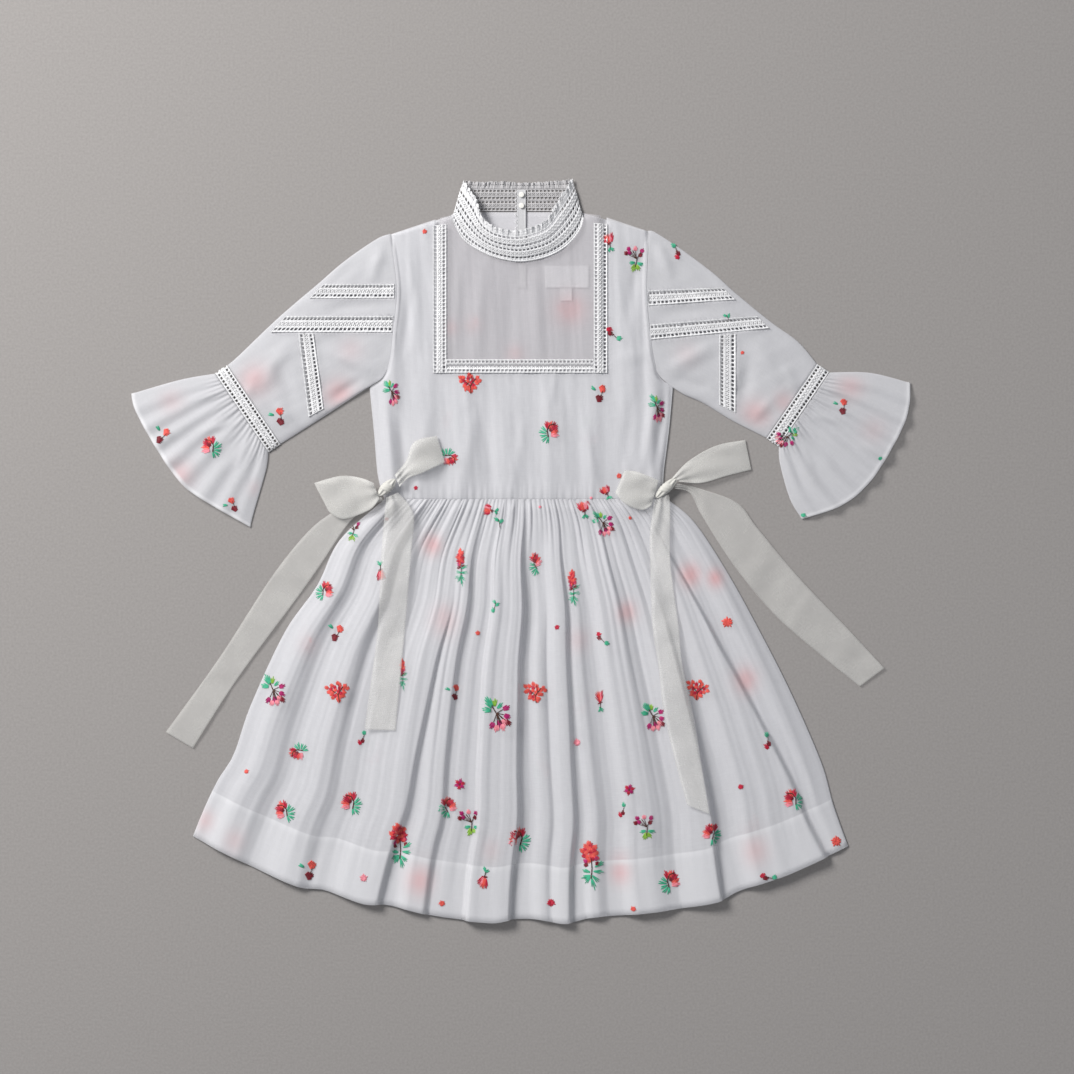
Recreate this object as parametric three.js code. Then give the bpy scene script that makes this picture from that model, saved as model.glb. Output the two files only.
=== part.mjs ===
// A child's organdy dress laid flat on its back: high lace collar, square sheer yoke with a lace frame,
// elbow sleeves with lace bands and flounces, gathered skirt with a deep hem, and a ribbon bow each side.
// Millimetres. X runs to the right sleeve as seen from above, Y up to the collar, Z up off the surface.
import * as THREE from 'three';

// Driving dimensions
const CLOTH = 1.2; // wall of every cloth panel
const LACE = 1.0; // wall of the lace bands and frills
const RIBBON = 1.0; // wall of the ribbon ties
const SEAM = 0.3; // clear gap between pieces at a seam, and below what lies on a panel
const FRONT_BED = CLOTH + SEAM; // lowest underside of a front panel over the back one
const WAIST_Y = 51; // waist seam
const YOKE_BOTTOM = 183.5; // lower seam of the square yoke, under the middle of its lace
const YOKE_LEFT = -81; // side seams of the yoke, under the middle of its lace
const YOKE_RIGHT = 79.5;
const LACE_WIDTH = 13.5; // lace band round the yoke
const BACK_NECK_Y = 338; // seam between the back and its collar
const GATHERS = 36; // gathers across the front of the skirt
const FLOUNCE_WAVES = 8; // waves across each flounce
const FRILL_FRONT_WAVES = 16; // waves of the collar frill, front and back
const FRILL_BACK_WAVES = 12;
const SLEEVE_EDGE = 3.2; // height of a flattened tube at its fold lines
const GROUND_CELL = 2.5; // size of the cells that record how high the laid pieces reach

// Outlines as points along smooth curves, all in plan
const SKIRT_SIDE_LEFT = [[-328, -286], [-316, -257], [-303, -230], [-287, -204], [-270, -155], [-236, -82],
  [-204, -36], [-181, 10], [-136, WAIST_Y - SEAM / 2]];
const SKIRT_SIDE_RIGHT = [[327, -296], [312, -254], [300, -212], [270, -143], [238, -80], [206, -22], [173, 28],
  [146, WAIST_Y - SEAM / 2]];
const HEM = [[-328, -286], [-294, -304], [-252, -324], [-220, -337], [-196, -340], [-158, -353], [-132, -355],
  [-89, -365], [-33, -372], [-8, -369], [16, -369], [44, -373], [73, -367], [112, -364], [160, -358],
  [197, -351], [220, -340], [269, -323], [327, -296]];
const BODICE_SIDE_LEFT = [[-136, WAIST_Y + SEAM / 2], [-143, 74], [-147, 118], [-151.5, 164]];
const BODICE_SIDE_RIGHT = [[144, WAIST_Y + SEAM / 2], [142.5, 74], [148, 120], [152, 164.5]];
const ARMHOLE_LEFT = [[-151, 164], [-138.5, 172], [-131, 187], [-127, 217], [-123, 262], [-130, 316]];
const ARMHOLE_RIGHT = [[152, 164.5], [139.5, 172.5], [132.5, 188], [128, 217], [124.5, 262], [127, 319]];
const NECK_FRONT = [[-69, 330], [-57.6, 311], [-41, 299.4], [-22, 291.8], [1, 288.6], [26.6, 293.7],
  [45.7, 304.5], [58.4, 319.8], [62.3, 332]];
const FRILL_FRONT_EDGE = [[-57.6, 369.6], [-45, 351], [-39.5, 334], [-27, 322.5], [-6.6, 318.5], [8, 321],
  [25, 329], [36, 347], [50.8, 371]];

// Sleeves, one row a side: the seam curves from the underarm fold to the shoulder fold
const SLEEVES = {
  left: {
    armhole: ARMHOLE_LEFT,
    upper: [[-130, 316], [-144, 311], [-176, 289], [-204, 265], [-242, 232.5], [-282, 194.3], [-293.3, 184.7]],
    lower: [[-151, 164], [-166, 154], [-198, 133], [-240.3, 106.2]],
    wrist: [[-240.3, 106.2], [-293.3, 184.7]],
    cuff: [[-252.7, 97.8], [-305.7, 176.3]],
    flounceUpper: [[-305.7, 176.3], [-341, 170], [-389.5, 156]],
    flounceLower: [[-252.7, 97.8], [-255, 80], [-266, 42], [-271, 23]],
    flounceHem: [[-271, 23], [-324, 54], [-344, 72], [-367, 106], [-385, 139], [-389.5, 156]],
  },
  right: {
    armhole: ARMHOLE_RIGHT,
    upper: [[127, 319], [134, 317.5], [161, 300], [193, 276], [213.7, 257.4], [249.5, 228], [277, 208],
      [295.8, 185.8]],
    lower: [[152, 164.5], [161, 156.4], [182, 147], [212, 129], [245.4, 112.2]],
    wrist: [[245.4, 112.2], [295.8, 185.8]],
    cuff: [[257.8, 103.8], [308.2, 177.4]],
    flounceUpper: [[308.2, 177.4], [349, 177], [389, 167]],
    flounceLower: [[257.8, 103.8], [259, 86], [269, 51], [281, 31]],
    flounceHem: [[281, 31], [321, 45], [350, 70], [376, 112], [387, 140], [389, 167]],
  },
};

// Lace bands on the sleeves, as the four corners of each
const SLEEVE_LACE = [
  { name: 'lace_upper_left', corners: [[-126.5, 251.5], [-211, 251.5], [-197, 265.5], [-126.5, 265.5]] },
  { name: 'lace_lower_left', corners: [[-129, 217.5], [-250, 217.5], [-235, 233.5], [-127.5, 233.5]] },
  { name: 'lace_side_left', corners: [[-212, 133], [-222, 216], [-207, 216], [-197, 141]] },
  { name: 'lace_upper_right', corners: [[127.5, 244], [214, 250], [202, 262], [127.5, 259]] },
  { name: 'lace_lower_right', corners: [[129.5, 210], [248, 221.5], [236, 233.5], [129, 225]] },
  { name: 'lace_side_right', corners: [[198, 145], [198, 214.5], [214.5, 215.5], [214.5, 137]] },
];

// Large skirt folds: place counted in gathers from the left, height, half width in gathers, lean of the
// crest as a share of that half width, and how far down from the waist each one is full
const SKIRT_FOLDS = [
  { at: 1.6, height: 3.4, reach: 1.5, lean: 0.4, full: 0.35 },
  { at: 4.5, height: 5.4, reach: 1.7, lean: -0.3, full: 0.45 },
  { at: 7.2, height: 6.6, reach: 1.4, lean: 0.5, full: 0.5 },
  { at: 9.8, height: 5.2, reach: 1.5, lean: 0.4, full: 0.4 },
  { at: 11.9, height: 6.2, reach: 1.2, lean: -0.5, full: 0.6 },
  { at: 14.0, height: 6.8, reach: 1.5, lean: 0.3, full: 0.35 },
  { at: 16.2, height: 5.0, reach: 1.2, lean: 0.5, full: 0.6 },
  { at: 18.0, height: 7.4, reach: 1.5, lean: -0.4, full: 0.4 },
  { at: 20.3, height: 6.4, reach: 1.3, lean: 0.5, full: 0.3 },
  { at: 22.4, height: 5.6, reach: 1.4, lean: -0.4, full: 0.55 },
  { at: 24.7, height: 7.2, reach: 1.5, lean: -0.5, full: 0.4 },
  { at: 27.0, height: 5.4, reach: 1.4, lean: 0.3, full: 0.5 },
  { at: 29.2, height: 6.8, reach: 1.4, lean: -0.5, full: 0.45 },
  { at: 31.7, height: 5.6, reach: 1.7, lean: -0.3, full: 0.35 },
  { at: 34.4, height: 3.6, reach: 1.4, lean: -0.4, full: 0.3 },
];

// Soft upright folds of the bodice: place as a share of the width, height, half width as a share, and the
// span of the front's height over which each one runs
const BODICE_FOLDS = [
  { at: 0.07, height: 2.2, reach: 0.05, from: -0.1, to: 0.95 },
  { at: 0.17, height: 1.2, reach: 0.06, from: -0.1, to: 0.6 },
  { at: 0.31, height: 1.5, reach: 0.07, from: -0.1, to: 0.5 },
  { at: 0.45, height: 1.1, reach: 0.06, from: -0.1, to: 0.45 },
  { at: 0.59, height: 1.6, reach: 0.07, from: -0.1, to: 0.55 },
  { at: 0.73, height: 1.1, reach: 0.05, from: -0.1, to: 0.5 },
  { at: 0.86, height: 1.6, reach: 0.06, from: -0.1, to: 0.8 },
  { at: 0.94, height: 2.0, reach: 0.04, from: -0.1, to: 0.9 },
];

// Ribbon ties: the two edges of each tail and loop, from the knot outwards, and the height of a loop
const TIES = {
  left: {
    knot: { at: [-133.5, 63], size: [22, 15, 9], turn: 0.45 },
    tails: {
      tail_long_left: {
        edges: [[[-144, 58], [-170, 46], [-191, 36], [-215, 16], [-250, -28], [-301, -107], [-355, -182]],
          [[-137, 50], [-160, 38], [-176, 22], [-200, -14], [-224, -48], [-283, -128], [-328, -198]]],
      },
      tail_short_left: {
        edges: [[[-134, 52.5], [-138, 10], [-141, -50], [-144, -90], [-156, -179]],
          [[-122.5, 57.5], [-107, 36], [-109, 0], [-114, -60], [-125, -180]]],
      },
    },
    loops: {
      loop_outer_left: {
        edges: [[[-141, 50.6], [-151, 40], [-177, 31], [-192, 38.4]],
          [[-147, 67], [-160, 72], [-180, 74], [-206.7, 67]]],
        rise: 6.6,
      },
      loop_inner_left: {
        edges: [[[-121, 63], [-112, 72], [-98, 77], [-76, 87.5]],
          [[-125.5, 75], [-114, 90], [-106, 108], [-84, 114]]],
        rise: 5.4,
      },
    },
  },
  right: {
    knot: { at: [144, 62], size: [25, 12, 9], turn: 0.72 },
    tails: {
      tail_long_right: {
        edges: [[[153.1, 61.5], [169, 57], [181, 34], [214, -17], [255, -66], [302, -107], [338.6, -136.3]],
          [[154.6, 67], [180, 61], [216, 47], [237, 21], [279, -29], [324, -76], [363, -118]]],
      },
      tail_short_right: {
        edges: [[[133.5, 49.5], [129, 20], [129, -13], [131, -74], [137, -115], [144, -170], [165.4, -254]],
          [[148, 56], [149, 30], [149, -13], [157, -74], [161, -115], [172.5, -170], [187.8, -263]]],
      },
    },
    loops: {
      loop_outer_right: {
        edges: [[[158.1, 68.2], [180, 67], [207, 74.5], [230, 80.3]],
          [[151.1, 72.2], [168, 89.4], [195, 104.3], [224, 110]]],
        rise: 6.4,
      },
      loop_inner_right: {
        edges: [[[130, 44.5], [120, 40], [104, 46], [94, 57]],
          [[137.2, 69.5], [129, 73], [116, 78], [103.4, 79.5]]],
        rise: 4.8,
      },
    },
  },
};

// Finishes
const finish = (color, roughness) => new THREE.MeshStandardMaterial({ color, roughness, metalness: 0 });
const ORGANDY = finish(0xf2f3f7, 0.75);
const YOKE_ORGANDY = finish(0xdcdde2, 0.7);
const LACE_WHITE = finish(0xfafafa, 0.85);
const RIBBON_IVORY = finish(0xebebde, 0.45);
const BUTTON_WHITE = finish(0xf7f5ee, 0.3);

// Small helpers
const lerp = (a, b, t) => a + (b - a) * t;
const clamp = (x, lo, hi) => Math.min(hi, Math.max(lo, x));
const smooth = (t) => clamp(t, 0, 1) ** 2 * (3 - 2 * clamp(t, 0, 1));
const curve = (points) => new THREE.SplineCurve(points.map(([x, y]) => new THREE.Vector2(x, y)));
const line = (a, b) => new THREE.LineCurve(new THREE.Vector2(...a), new THREE.Vector2(...b));

// A rounded bump one unit wide each side of zero, its crest moved by lean
function bump(x, lean = 0) {
  const side = x < lean ? (x - lean) / (1 + lean) : (x - lean) / (1 - lean);
  return Math.abs(side) >= 1 ? 0 : 0.5 + 0.5 * Math.cos(Math.PI * side);
}

// A patch of plan stretched between four boundary curves that share their corners
function patch(bottom, top, left, right) {
  return (u, v) => {
    const [b, t, l, r] = [bottom.getPointAt(u), top.getPointAt(u), left.getPointAt(v), right.getPointAt(v)];
    const [bl, br] = [bottom.getPointAt(0), bottom.getPointAt(1)];
    const [tl, tr] = [top.getPointAt(0), top.getPointAt(1)];
    const along = (k) => (1 - v) * b[k] + v * t[k] + (1 - u) * l[k] + u * r[k]
      - (1 - u) * (1 - v) * bl[k] - u * (1 - v) * br[k] - (1 - u) * v * tl[k] - u * v * tr[k];
    return [along('x'), along('y')];
  };
}

// Collects the faces of one closed body and turns them outwards
class Body {
  constructor() {
    this.corners = [];
  }

  quad(a, b, c, d) {
    this.corners.push(a, b, c, a, c, d);
  }

  volume() {
    let sum = 0;
    for (let i = 0; i < this.corners.length; i += 3) {
      const [a, b, c] = this.corners.slice(i, i + 3);
      sum += a[0] * (b[1] * c[2] - b[2] * c[1]) - a[1] * (b[0] * c[2] - b[2] * c[0])
        + a[2] * (b[0] * c[1] - b[1] * c[0]);
    }
    return sum / 6;
  }

  mesh(name, material) {
    if (this.volume() < 0) this.corners.reverse();
    const geometry = new THREE.BufferGeometry();
    geometry.setAttribute('position', new THREE.Float32BufferAttribute(this.corners.flat(), 3));
    return named(geometry, name, material);
  }
}

function named(geometry, name, material) {
  const mesh = new THREE.Mesh(geometry, material);
  mesh.name = name;
  return mesh;
}

// Remembers how high the pieces laid so far reach, cell by cell
class Ground {
  constructor() {
    this.cells = new Map();
  }

  key(x, y) {
    return Math.round(x / GROUND_CELL) * 4096 + Math.round(y / GROUND_CELL);
  }

  mark(x, y, z) {
    const key = this.key(x, y);
    this.cells.set(key, Math.max(z, this.cells.get(key) ?? 0));
  }

  lay(mesh) {
    const loose = mesh.geometry.index ? mesh.geometry.toNonIndexed() : mesh.geometry;
    const p = loose.attributes.position;
    for (let i = 0; i < p.count; i += 3) {
      const [a, b, c] = [0, 1, 2].map((k) => new THREE.Vector3().fromBufferAttribute(p, i + k));
      const span = Math.max(a.distanceTo(b), b.distanceTo(c), c.distanceTo(a));
      const steps = Math.max(1, Math.ceil(span / (GROUND_CELL * 0.6)));
      for (let m = 0; m <= steps; m += 1) {
        for (let n = 0; n <= steps - m; n += 1) {
          const spot = a.clone().multiplyScalar(m / steps).addScaledVector(b, n / steps)
            .addScaledVector(c, 1 - (m + n) / steps);
          this.mark(spot.x, spot.y, spot.z);
        }
      }
    }
  }

  // The lowest clear height for a piece at a spot, looking as far round it as reach
  clear(x, y, reach) {
    const n = Math.ceil(reach / GROUND_CELL);
    let top = 0;
    for (let i = -n; i <= n; i += 1) {
      for (let j = -n; j <= n; j += 1) {
        top = Math.max(top, this.cells.get(this.key(x + i * GROUND_CELL, y + j * GROUND_CELL)) ?? 0);
      }
    }
    return top > 0 ? top + SEAM : 0;
  }
}

// A cloth wall over a grid: plan gives each grid point's place and lift its underside, keep leaves cells out
function wall(across, along, plan, lift, cloth, keep = () => true) {
  const under = [];
  for (let i = 0; i <= across; i += 1) {
    under.push([]);
    for (let j = 0; j <= along; j += 1) under[i].push([...plan(i, j), lift(i, j)]);
  }
  // The wall is thicker straight up where it slopes, so that it keeps its thickness
  const slope = (a, b) => Math.abs(b[2] - a[2]) / Math.max(0.5, Math.hypot(b[0] - a[0], b[1] - a[1]));
  const over = under.map((column, i) => column.map((point, j) => {
    const sideways = Math.max(slope(point, under[Math.max(i - 1, 0)][j]),
      slope(point, under[Math.min(i + 1, across)][j]));
    const steep = Math.min(1.6, Math.hypot(1, sideways));
    return [point[0], point[1], point[2] + cloth * steep];
  }));
  const body = new Body();
  const kept = (i, j) => i >= 0 && j >= 0 && i < across && j < along && keep(i, j);
  for (let i = 0; i < across; i += 1) {
    for (let j = 0; j < along; j += 1) {
      if (!kept(i, j)) continue;
      body.quad(over[i][j], over[i + 1][j], over[i + 1][j + 1], over[i][j + 1]);
      body.quad(under[i][j + 1], under[i + 1][j + 1], under[i + 1][j], under[i][j]);
      if (!kept(i, j - 1)) body.quad(under[i][j], under[i + 1][j], over[i + 1][j], over[i][j]);
      if (!kept(i, j + 1)) {
        body.quad(under[i + 1][j + 1], under[i][j + 1], over[i][j + 1], over[i + 1][j + 1]);
      }
      if (!kept(i - 1, j)) body.quad(under[i][j + 1], under[i][j], over[i][j], over[i][j + 1]);
      if (!kept(i + 1, j)) {
        body.quad(under[i + 1][j], under[i + 1][j + 1], over[i + 1][j + 1], over[i + 1][j]);
      }
    }
  }
  return body;
}

// A flattened tube of cloth, open at both ends: stations along it, columns over its top and under it
function tube({ stations, over, under, plan, floor, roof, cloth }) {
  const rings = [];
  for (let s = 0; s <= stations; s += 1) {
    const u = s / stations;
    const [a, b] = [plan(u, 0), plan(u, 1)];
    const inset = cloth / Math.hypot(b[0] - a[0], b[1] - a[1]);
    const outer = [];
    const inner = [];
    const add = (v, atFloor) => {
      const inside = clamp(v, inset, 1 - inset);
      outer.push([...plan(u, v), atFloor ? floor(u, v) : roof(u, v)]);
      inner.push([...plan(u, inside), atFloor ? floor(u, v) + cloth : roof(u, v) - cloth]);
    };
    for (let k = 0; k <= under; k += 1) add(k / under, true);
    for (let k = over; k >= 0; k -= 1) add(k / over, false);
    rings.push({ outer, inner });
  }
  const body = new Body();
  const count = rings[0].outer.length;
  for (let s = 0; s < stations; s += 1) {
    const [p, q] = [rings[s], rings[s + 1]];
    for (let k = 0; k < count; k += 1) {
      const n = (k + 1) % count;
      body.quad(p.outer[k], q.outer[k], q.outer[n], p.outer[n]);
      body.quad(p.inner[n], q.inner[n], q.inner[k], p.inner[k]);
    }
  }
  for (let k = 0; k < count; k += 1) {
    const n = (k + 1) % count;
    const [first, last] = [rings[0], rings[stations]];
    body.quad(first.outer[k], first.outer[n], first.inner[n], first.inner[k]);
    body.quad(last.outer[n], last.outer[k], last.inner[k], last.inner[n]);
  }
  return body;
}

// A flat plate over an outline
function plate(outline, bottom, thickness, name, material) {
  const shape = new THREE.Shape(outline.map(([x, y]) => new THREE.Vector2(x, y)));
  const geometry = new THREE.ExtrudeGeometry(shape, { depth: thickness, bevelEnabled: false });
  geometry.translate(0, 0, bottom);
  return named(geometry, name, material);
}

const pointsOn = (points, n) => curve(points).getSpacedPoints(n).map((p) => [p.x, p.y]);

// Back panels: flat on the surface
const SIDE_ROWS = 6;
const ARMHOLE_ROWS = 12;

// Each armhole seam on the body's side of the gap
function bodyArmhole(points, inwards) {
  const gap = SEAM + 0.2;
  return pointsOn(points, ARMHOLE_ROWS).map(([x, y]) => [x + gap * inwards, y - gap]);
}

function bodySide(side) {
  const left = side === 'left';
  const seam = pointsOn(left ? BODICE_SIDE_LEFT : BODICE_SIDE_RIGHT, SIDE_ROWS);
  const armhole = bodyArmhole(left ? ARMHOLE_LEFT : ARMHOLE_RIGHT, left ? 1 : -1);
  return [...seam.slice(0, -1), ...armhole];
}

const BODY_LEFT = bodySide('left');
const BODY_RIGHT = bodySide('right');

function backBodice() {
  const outline = [...BODY_LEFT, [-69.5, 334.5], [-66, BACK_NECK_Y - SEAM], [60, BACK_NECK_Y - SEAM],
    [63, 336.5], ...[...BODY_RIGHT].reverse()];
  return plate(outline, 0, CLOTH, 'back_bodice', ORGANDY);
}

function backSkirt() {
  const outline = [...pointsOn(SKIRT_SIDE_LEFT, 12), ...pointsOn(SKIRT_SIDE_RIGHT, 12).reverse(),
    ...pointsOn(HEM, 36).reverse().slice(1, -1)];
  return plate(outline, 0, CLOTH, 'back_skirt', ORGANDY);
}

// Front skirt: gathers fan out from the waist and merge into large folds towards the hem
const SKIRT_ROWS = 10;
const COLUMNS_PER_GATHER = 3;

function frontSkirt() {
  const across = GATHERS * COLUMNS_PER_GATHER;
  const waist = line([-136, WAIST_Y - SEAM / 2], [146, WAIST_Y - SEAM / 2]);
  const plan = patch(curve(HEM), waist, curve(SKIRT_SIDE_LEFT), curve(SKIRT_SIDE_RIGHT));
  const place = (i, j) => plan(i / across, skirtRow(j));
  const lift = (i, j) => {
    const down = 1 - skirtRow(j);
    const gather = i / COLUMNS_PER_GATHER;
    return FRONT_BED + skirtHeight(gather, down);
  };
  return wall(across, SKIRT_ROWS, place, lift, CLOTH).mesh('front_skirt', ORGANDY);
}

// Rows stand closer together near the waist, where the gathers start
const skirtRow = (j) => 1 - (1 - j / SKIRT_ROWS) ** 1.35;

function skirtHeight(gather, down) {
  const edge = smooth(Math.min(gather, GATHERS - gather) / 1.2);
  const phase = gather + 0.22 * Math.sin(gather * 2.4);
  const small = lerp(2.2, 0.5, smooth(down * 1.5)) * (0.5 - 0.5 * Math.cos(2 * Math.PI * phase));
  const belly = 1.6 * Math.sin(Math.PI * clamp(down * 1.1, 0, 1));
  let large = 0;
  for (const fold of SKIRT_FOLDS) {
    const grown = lerp(0.25, 1, smooth(down / fold.full));
    large = Math.max(large, fold.height * grown * bump((gather - fold.at) / fold.reach, fold.lean));
  }
  return edge * (small + belly + large);
}

// Front bodice: one panel round three sides of the yoke
const BODICE_COLUMNS = { side: 5, middle: 10 };
const YOKE_ROW = SIDE_ROWS + 3; // row of the grid on the yoke's lower seam
const SHOULDER_LEFT = 331.5;
const SHOULDER_RIGHT = 334;

function bodiceHeight(x, y) {
  const share = (x + 150) / 300;
  const rise = (y - WAIST_Y) / (320 - WAIST_Y);
  const belly = 2.6 * (1 - Math.abs(2 * clamp(share, 0, 1) - 1) ** 5) * smooth(rise * 4 + 0.35);
  let folds = 0;
  for (const fold of BODICE_FOLDS) {
    const span = smooth((rise - fold.from) * 6) * smooth((fold.to - rise) * 4);
    folds += fold.height * span * bump((share - fold.at) / fold.reach);
  }
  return belly + folds;
}

function frontBodice() {
  const { side, middle } = BODICE_COLUMNS;
  const across = 2 * side + middle;
  const rows = BODY_LEFT.length - 1;
  const inner = (j, shoulder) => (j <= YOKE_ROW
    ? lerp(WAIST_Y + SEAM / 2, YOKE_BOTTOM, j / YOKE_ROW)
    : lerp(YOKE_BOTTOM, shoulder, (j - YOKE_ROW) / (rows - YOKE_ROW)));
  const place = (i, j) => {
    const [l, r] = [BODY_LEFT[j], BODY_RIGHT[j]];
    const [a, b] = [[YOKE_LEFT - SEAM, inner(j, SHOULDER_LEFT)], [YOKE_RIGHT + SEAM, inner(j, SHOULDER_RIGHT)]];
    if (i <= side) return [lerp(l[0], a[0], i / side), lerp(l[1], a[1], i / side)];
    if (i >= side + middle) {
      const t = (i - side - middle) / side;
      return [lerp(b[0], r[0], t), lerp(b[1], r[1], t)];
    }
    const t = (i - side) / middle;
    return [lerp(a[0], b[0], t), lerp(a[1], b[1], t)];
  };
  const lift = (i, j) => FRONT_BED + bodiceHeight(...place(i, j));
  const keep = (i, j) => j < YOKE_ROW || i < side || i >= side + middle;
  return wall(across, rows, place, lift, CLOTH, keep).mesh('front_bodice', ORGANDY);
}

// Sheer yoke: square below, cut to the neck and shoulders above
const NECK_STEPS = 22; // columns along the front neck seam, on the yoke and on the collar

function frontYoke() {
  const seam = curve(NECK_FRONT);
  const gap = SEAM + 0.1;
  const tops = [[YOKE_LEFT, SHOULDER_LEFT], [-75, 333], [-70, 334.2]];
  for (let k = 0; k <= NECK_STEPS; k += 1) {
    const [at, way] = [seam.getPointAt(k / NECK_STEPS), seam.getTangentAt(k / NECK_STEPS)];
    tops.push([at.x + way.y * gap, at.y - way.x * gap]);
  }
  tops.push([63.4, 336], [72, 335], [YOKE_RIGHT, SHOULDER_RIGHT]);
  const rows = 6;
  const bottom = YOKE_BOTTOM + SEAM;
  const place = (i, j) => [tops[i][0], lerp(bottom, tops[i][1], j / rows)];
  const lift = (i, j) => FRONT_BED + bodiceHeight(...place(i, j)) + 0.4;
  return wall(tops.length - 1, rows, place, lift, CLOTH).mesh('front_yoke', YOKE_ORGANDY);
}

// A band between four corners, laid on what is below it
function band(ground, corners, across, along, reach, cloth) {
  const plan = patch(line(corners[0], corners[1]), line(corners[3], corners[2]),
    line(corners[0], corners[3]), line(corners[1], corners[2]));
  const place = (i, j) => plan(i / along, j / across);
  const lift = (i, j) => ground.clear(...place(i, j), reach);
  return wall(along, across, place, lift, cloth);
}

function yokeLace(ground) {
  const half = LACE_WIDTH / 2;
  const [left, right, low] = [YOKE_LEFT, YOKE_RIGHT, YOKE_BOTTOM];
  const upright = (x, top) => [[x - half, low - half], [x + half, low - half], [x + half, top], [x - half, top]];
  const bands = {
    yoke_lace_left: upright(left, 324),
    yoke_lace_right: upright(right, 326),
    yoke_lace_bottom: [[left + half + SEAM, low - half], [right - half - SEAM, low - half],
      [right - half - SEAM, low + half], [left + half + SEAM, low + half]],
  };
  return Object.entries(bands).map(([name, corners]) => {
    const upright = name !== 'yoke_lace_bottom';
    return band(ground, corners, upright ? 14 : 1, upright ? 1 : 14, LACE_WIDTH / 2, LACE).mesh(name, LACE_WHITE);
  });
}

// A sleeve, its lace cuff and its flounce: three flattened tubes end to end
const sleeveRoof = (u, v) => SLEEVE_EDGE + (1 - Math.abs(2 * v - 1) ** 2.4)
  * (2.4 + 0.7 * Math.sin(5 * v + 6 * u) * Math.sin(Math.PI * u));

function flounceRoof(u, v) {
  const wave = 0.5 - 0.5 * Math.cos(2 * Math.PI * (v * FLOUNCE_WAVES + 0.12 * Math.sin(9 * v)));
  return SLEEVE_EDGE + (1 - Math.abs(2 * v - 1) ** 4) * (0.8 + lerp(1.6, 3.2, u) * wave);
}

function seamGap(points, away) {
  return points.map(([x, y]) => [x + away[0] * SEAM, y + away[1] * SEAM]);
}

function sleeveParts(side) {
  const s = SLEEVES[side];
  const outwards = side === 'left' ? [-0.83, -0.56] : [0.83, -0.56];
  const flat = () => 0;
  const start = seamGap(s.wrist, outwards);
  const cuffEnd = seamGap(s.cuff, outwards.map((k) => -k));
  const sleeve = patch(curve(s.lower), curve(s.upper), curve(s.armhole), curve(s.wrist));
  const cuff = patch(line(start[0], cuffEnd[0]), line(start[1], cuffEnd[1]), line(...start), line(...cuffEnd));
  const flounce = patch(curve(s.flounceLower), curve(s.flounceUpper), curve(s.cuff), curve(s.flounceHem));
  return [
    tube({ stations: 9, over: ARMHOLE_ROWS, under: ARMHOLE_ROWS, plan: sleeve, floor: flat, roof: sleeveRoof,
      cloth: CLOTH }).mesh(`sleeve_${side}`, ORGANDY),
    tube({ stations: 1, over: 10, under: 4, plan: cuff, floor: flat, roof: (u, v) => sleeveRoof(1, v),
      cloth: CLOTH }).mesh(`cuff_lace_${side}`, LACE_WHITE),
    tube({ stations: 4, over: FLOUNCE_WAVES * 4, under: 8, plan: flounce, floor: flat, roof: flounceRoof,
      cloth: CLOTH }).mesh(`flounce_${side}`, ORGANDY),
  ];
}

// Collar: the back half lies flat, the front half rises over it from the front neck seam
const COLLAR_LOW = 1.6; // underside of the front collar at its side folds
const COLLAR_RISE = 8.5; // how far the middle of its top edge stands above that

function collarPlan() {
  return patch(curve(NECK_FRONT), curve(FRILL_FRONT_EDGE), line(NECK_FRONT[0], FRILL_FRONT_EDGE[0]),
    line(NECK_FRONT.at(-1), FRILL_FRONT_EDGE.at(-1)));
}

function collarHeight(u, v) {
  const middle = Math.sin(Math.PI * clamp(u, 0, 1)) ** 0.6;
  return COLLAR_LOW + middle * (3.2 + COLLAR_RISE * v ** 0.8);
}

function collarFront() {
  const plan = collarPlan();
  const [across, along] = [NECK_STEPS, 4];
  const top = 0.78; // share of the height below the frill
  const place = (i, j) => plan(i / across, (j / along) * top);
  const lift = (i, j) => collarHeight(i / across, (j / along) * top);
  return wall(across, along, place, lift, LACE).mesh('collar_front', LACE_WHITE);
}

// A frill's edge rises and falls once every four columns
const frillWave = (column) => 1.6 * (0.5 - 0.5 * Math.cos((2 * Math.PI * column) / 4));

function frillFront() {
  const plan = collarPlan();
  const across = FRILL_FRONT_WAVES * 4;
  const [from, to] = [0.815, 1];
  const place = (i, j) => plan(i / across, lerp(from, to, j));
  const lift = (i, j) => collarHeight(i / across, lerp(from, to, j)) + j * frillWave(i);
  return wall(across, 1, place, lift, LACE).mesh('collar_frill_front', LACE_WHITE);
}

const BACK_COLLAR_TOP = 361;

function collarBack() {
  const outline = [[-66, BACK_NECK_Y], [60, BACK_NECK_Y], [52.5, BACK_COLLAR_TOP], [-58.5, BACK_COLLAR_TOP]];
  return plate(outline, 0, LACE, 'collar_back', LACE_WHITE);
}

function frillBack() {
  const across = FRILL_BACK_WAVES * 4;
  const foot = line([-58.3, BACK_COLLAR_TOP + SEAM], [52.3, BACK_COLLAR_TOP + SEAM]);
  const edge = curve([[-56, 369], [-40, 367.5], [-20, 368.5], [0, 367], [25, 368], [50, 370.5]]);
  const plan = patch(foot, edge, line([-58.3, BACK_COLLAR_TOP + SEAM], [-56, 369]),
    line([52.3, BACK_COLLAR_TOP + SEAM], [50, 370.5]));
  const place = (i, j) => plan(i / across, j);
  const inside = (i) => smooth(Math.min(i, across - i) / 10);
  const lift = (i, j) => j * inside(i) * frillWave(i);
  return wall(across, 1, place, lift, LACE).mesh('collar_frill_back', LACE_WHITE);
}

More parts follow.
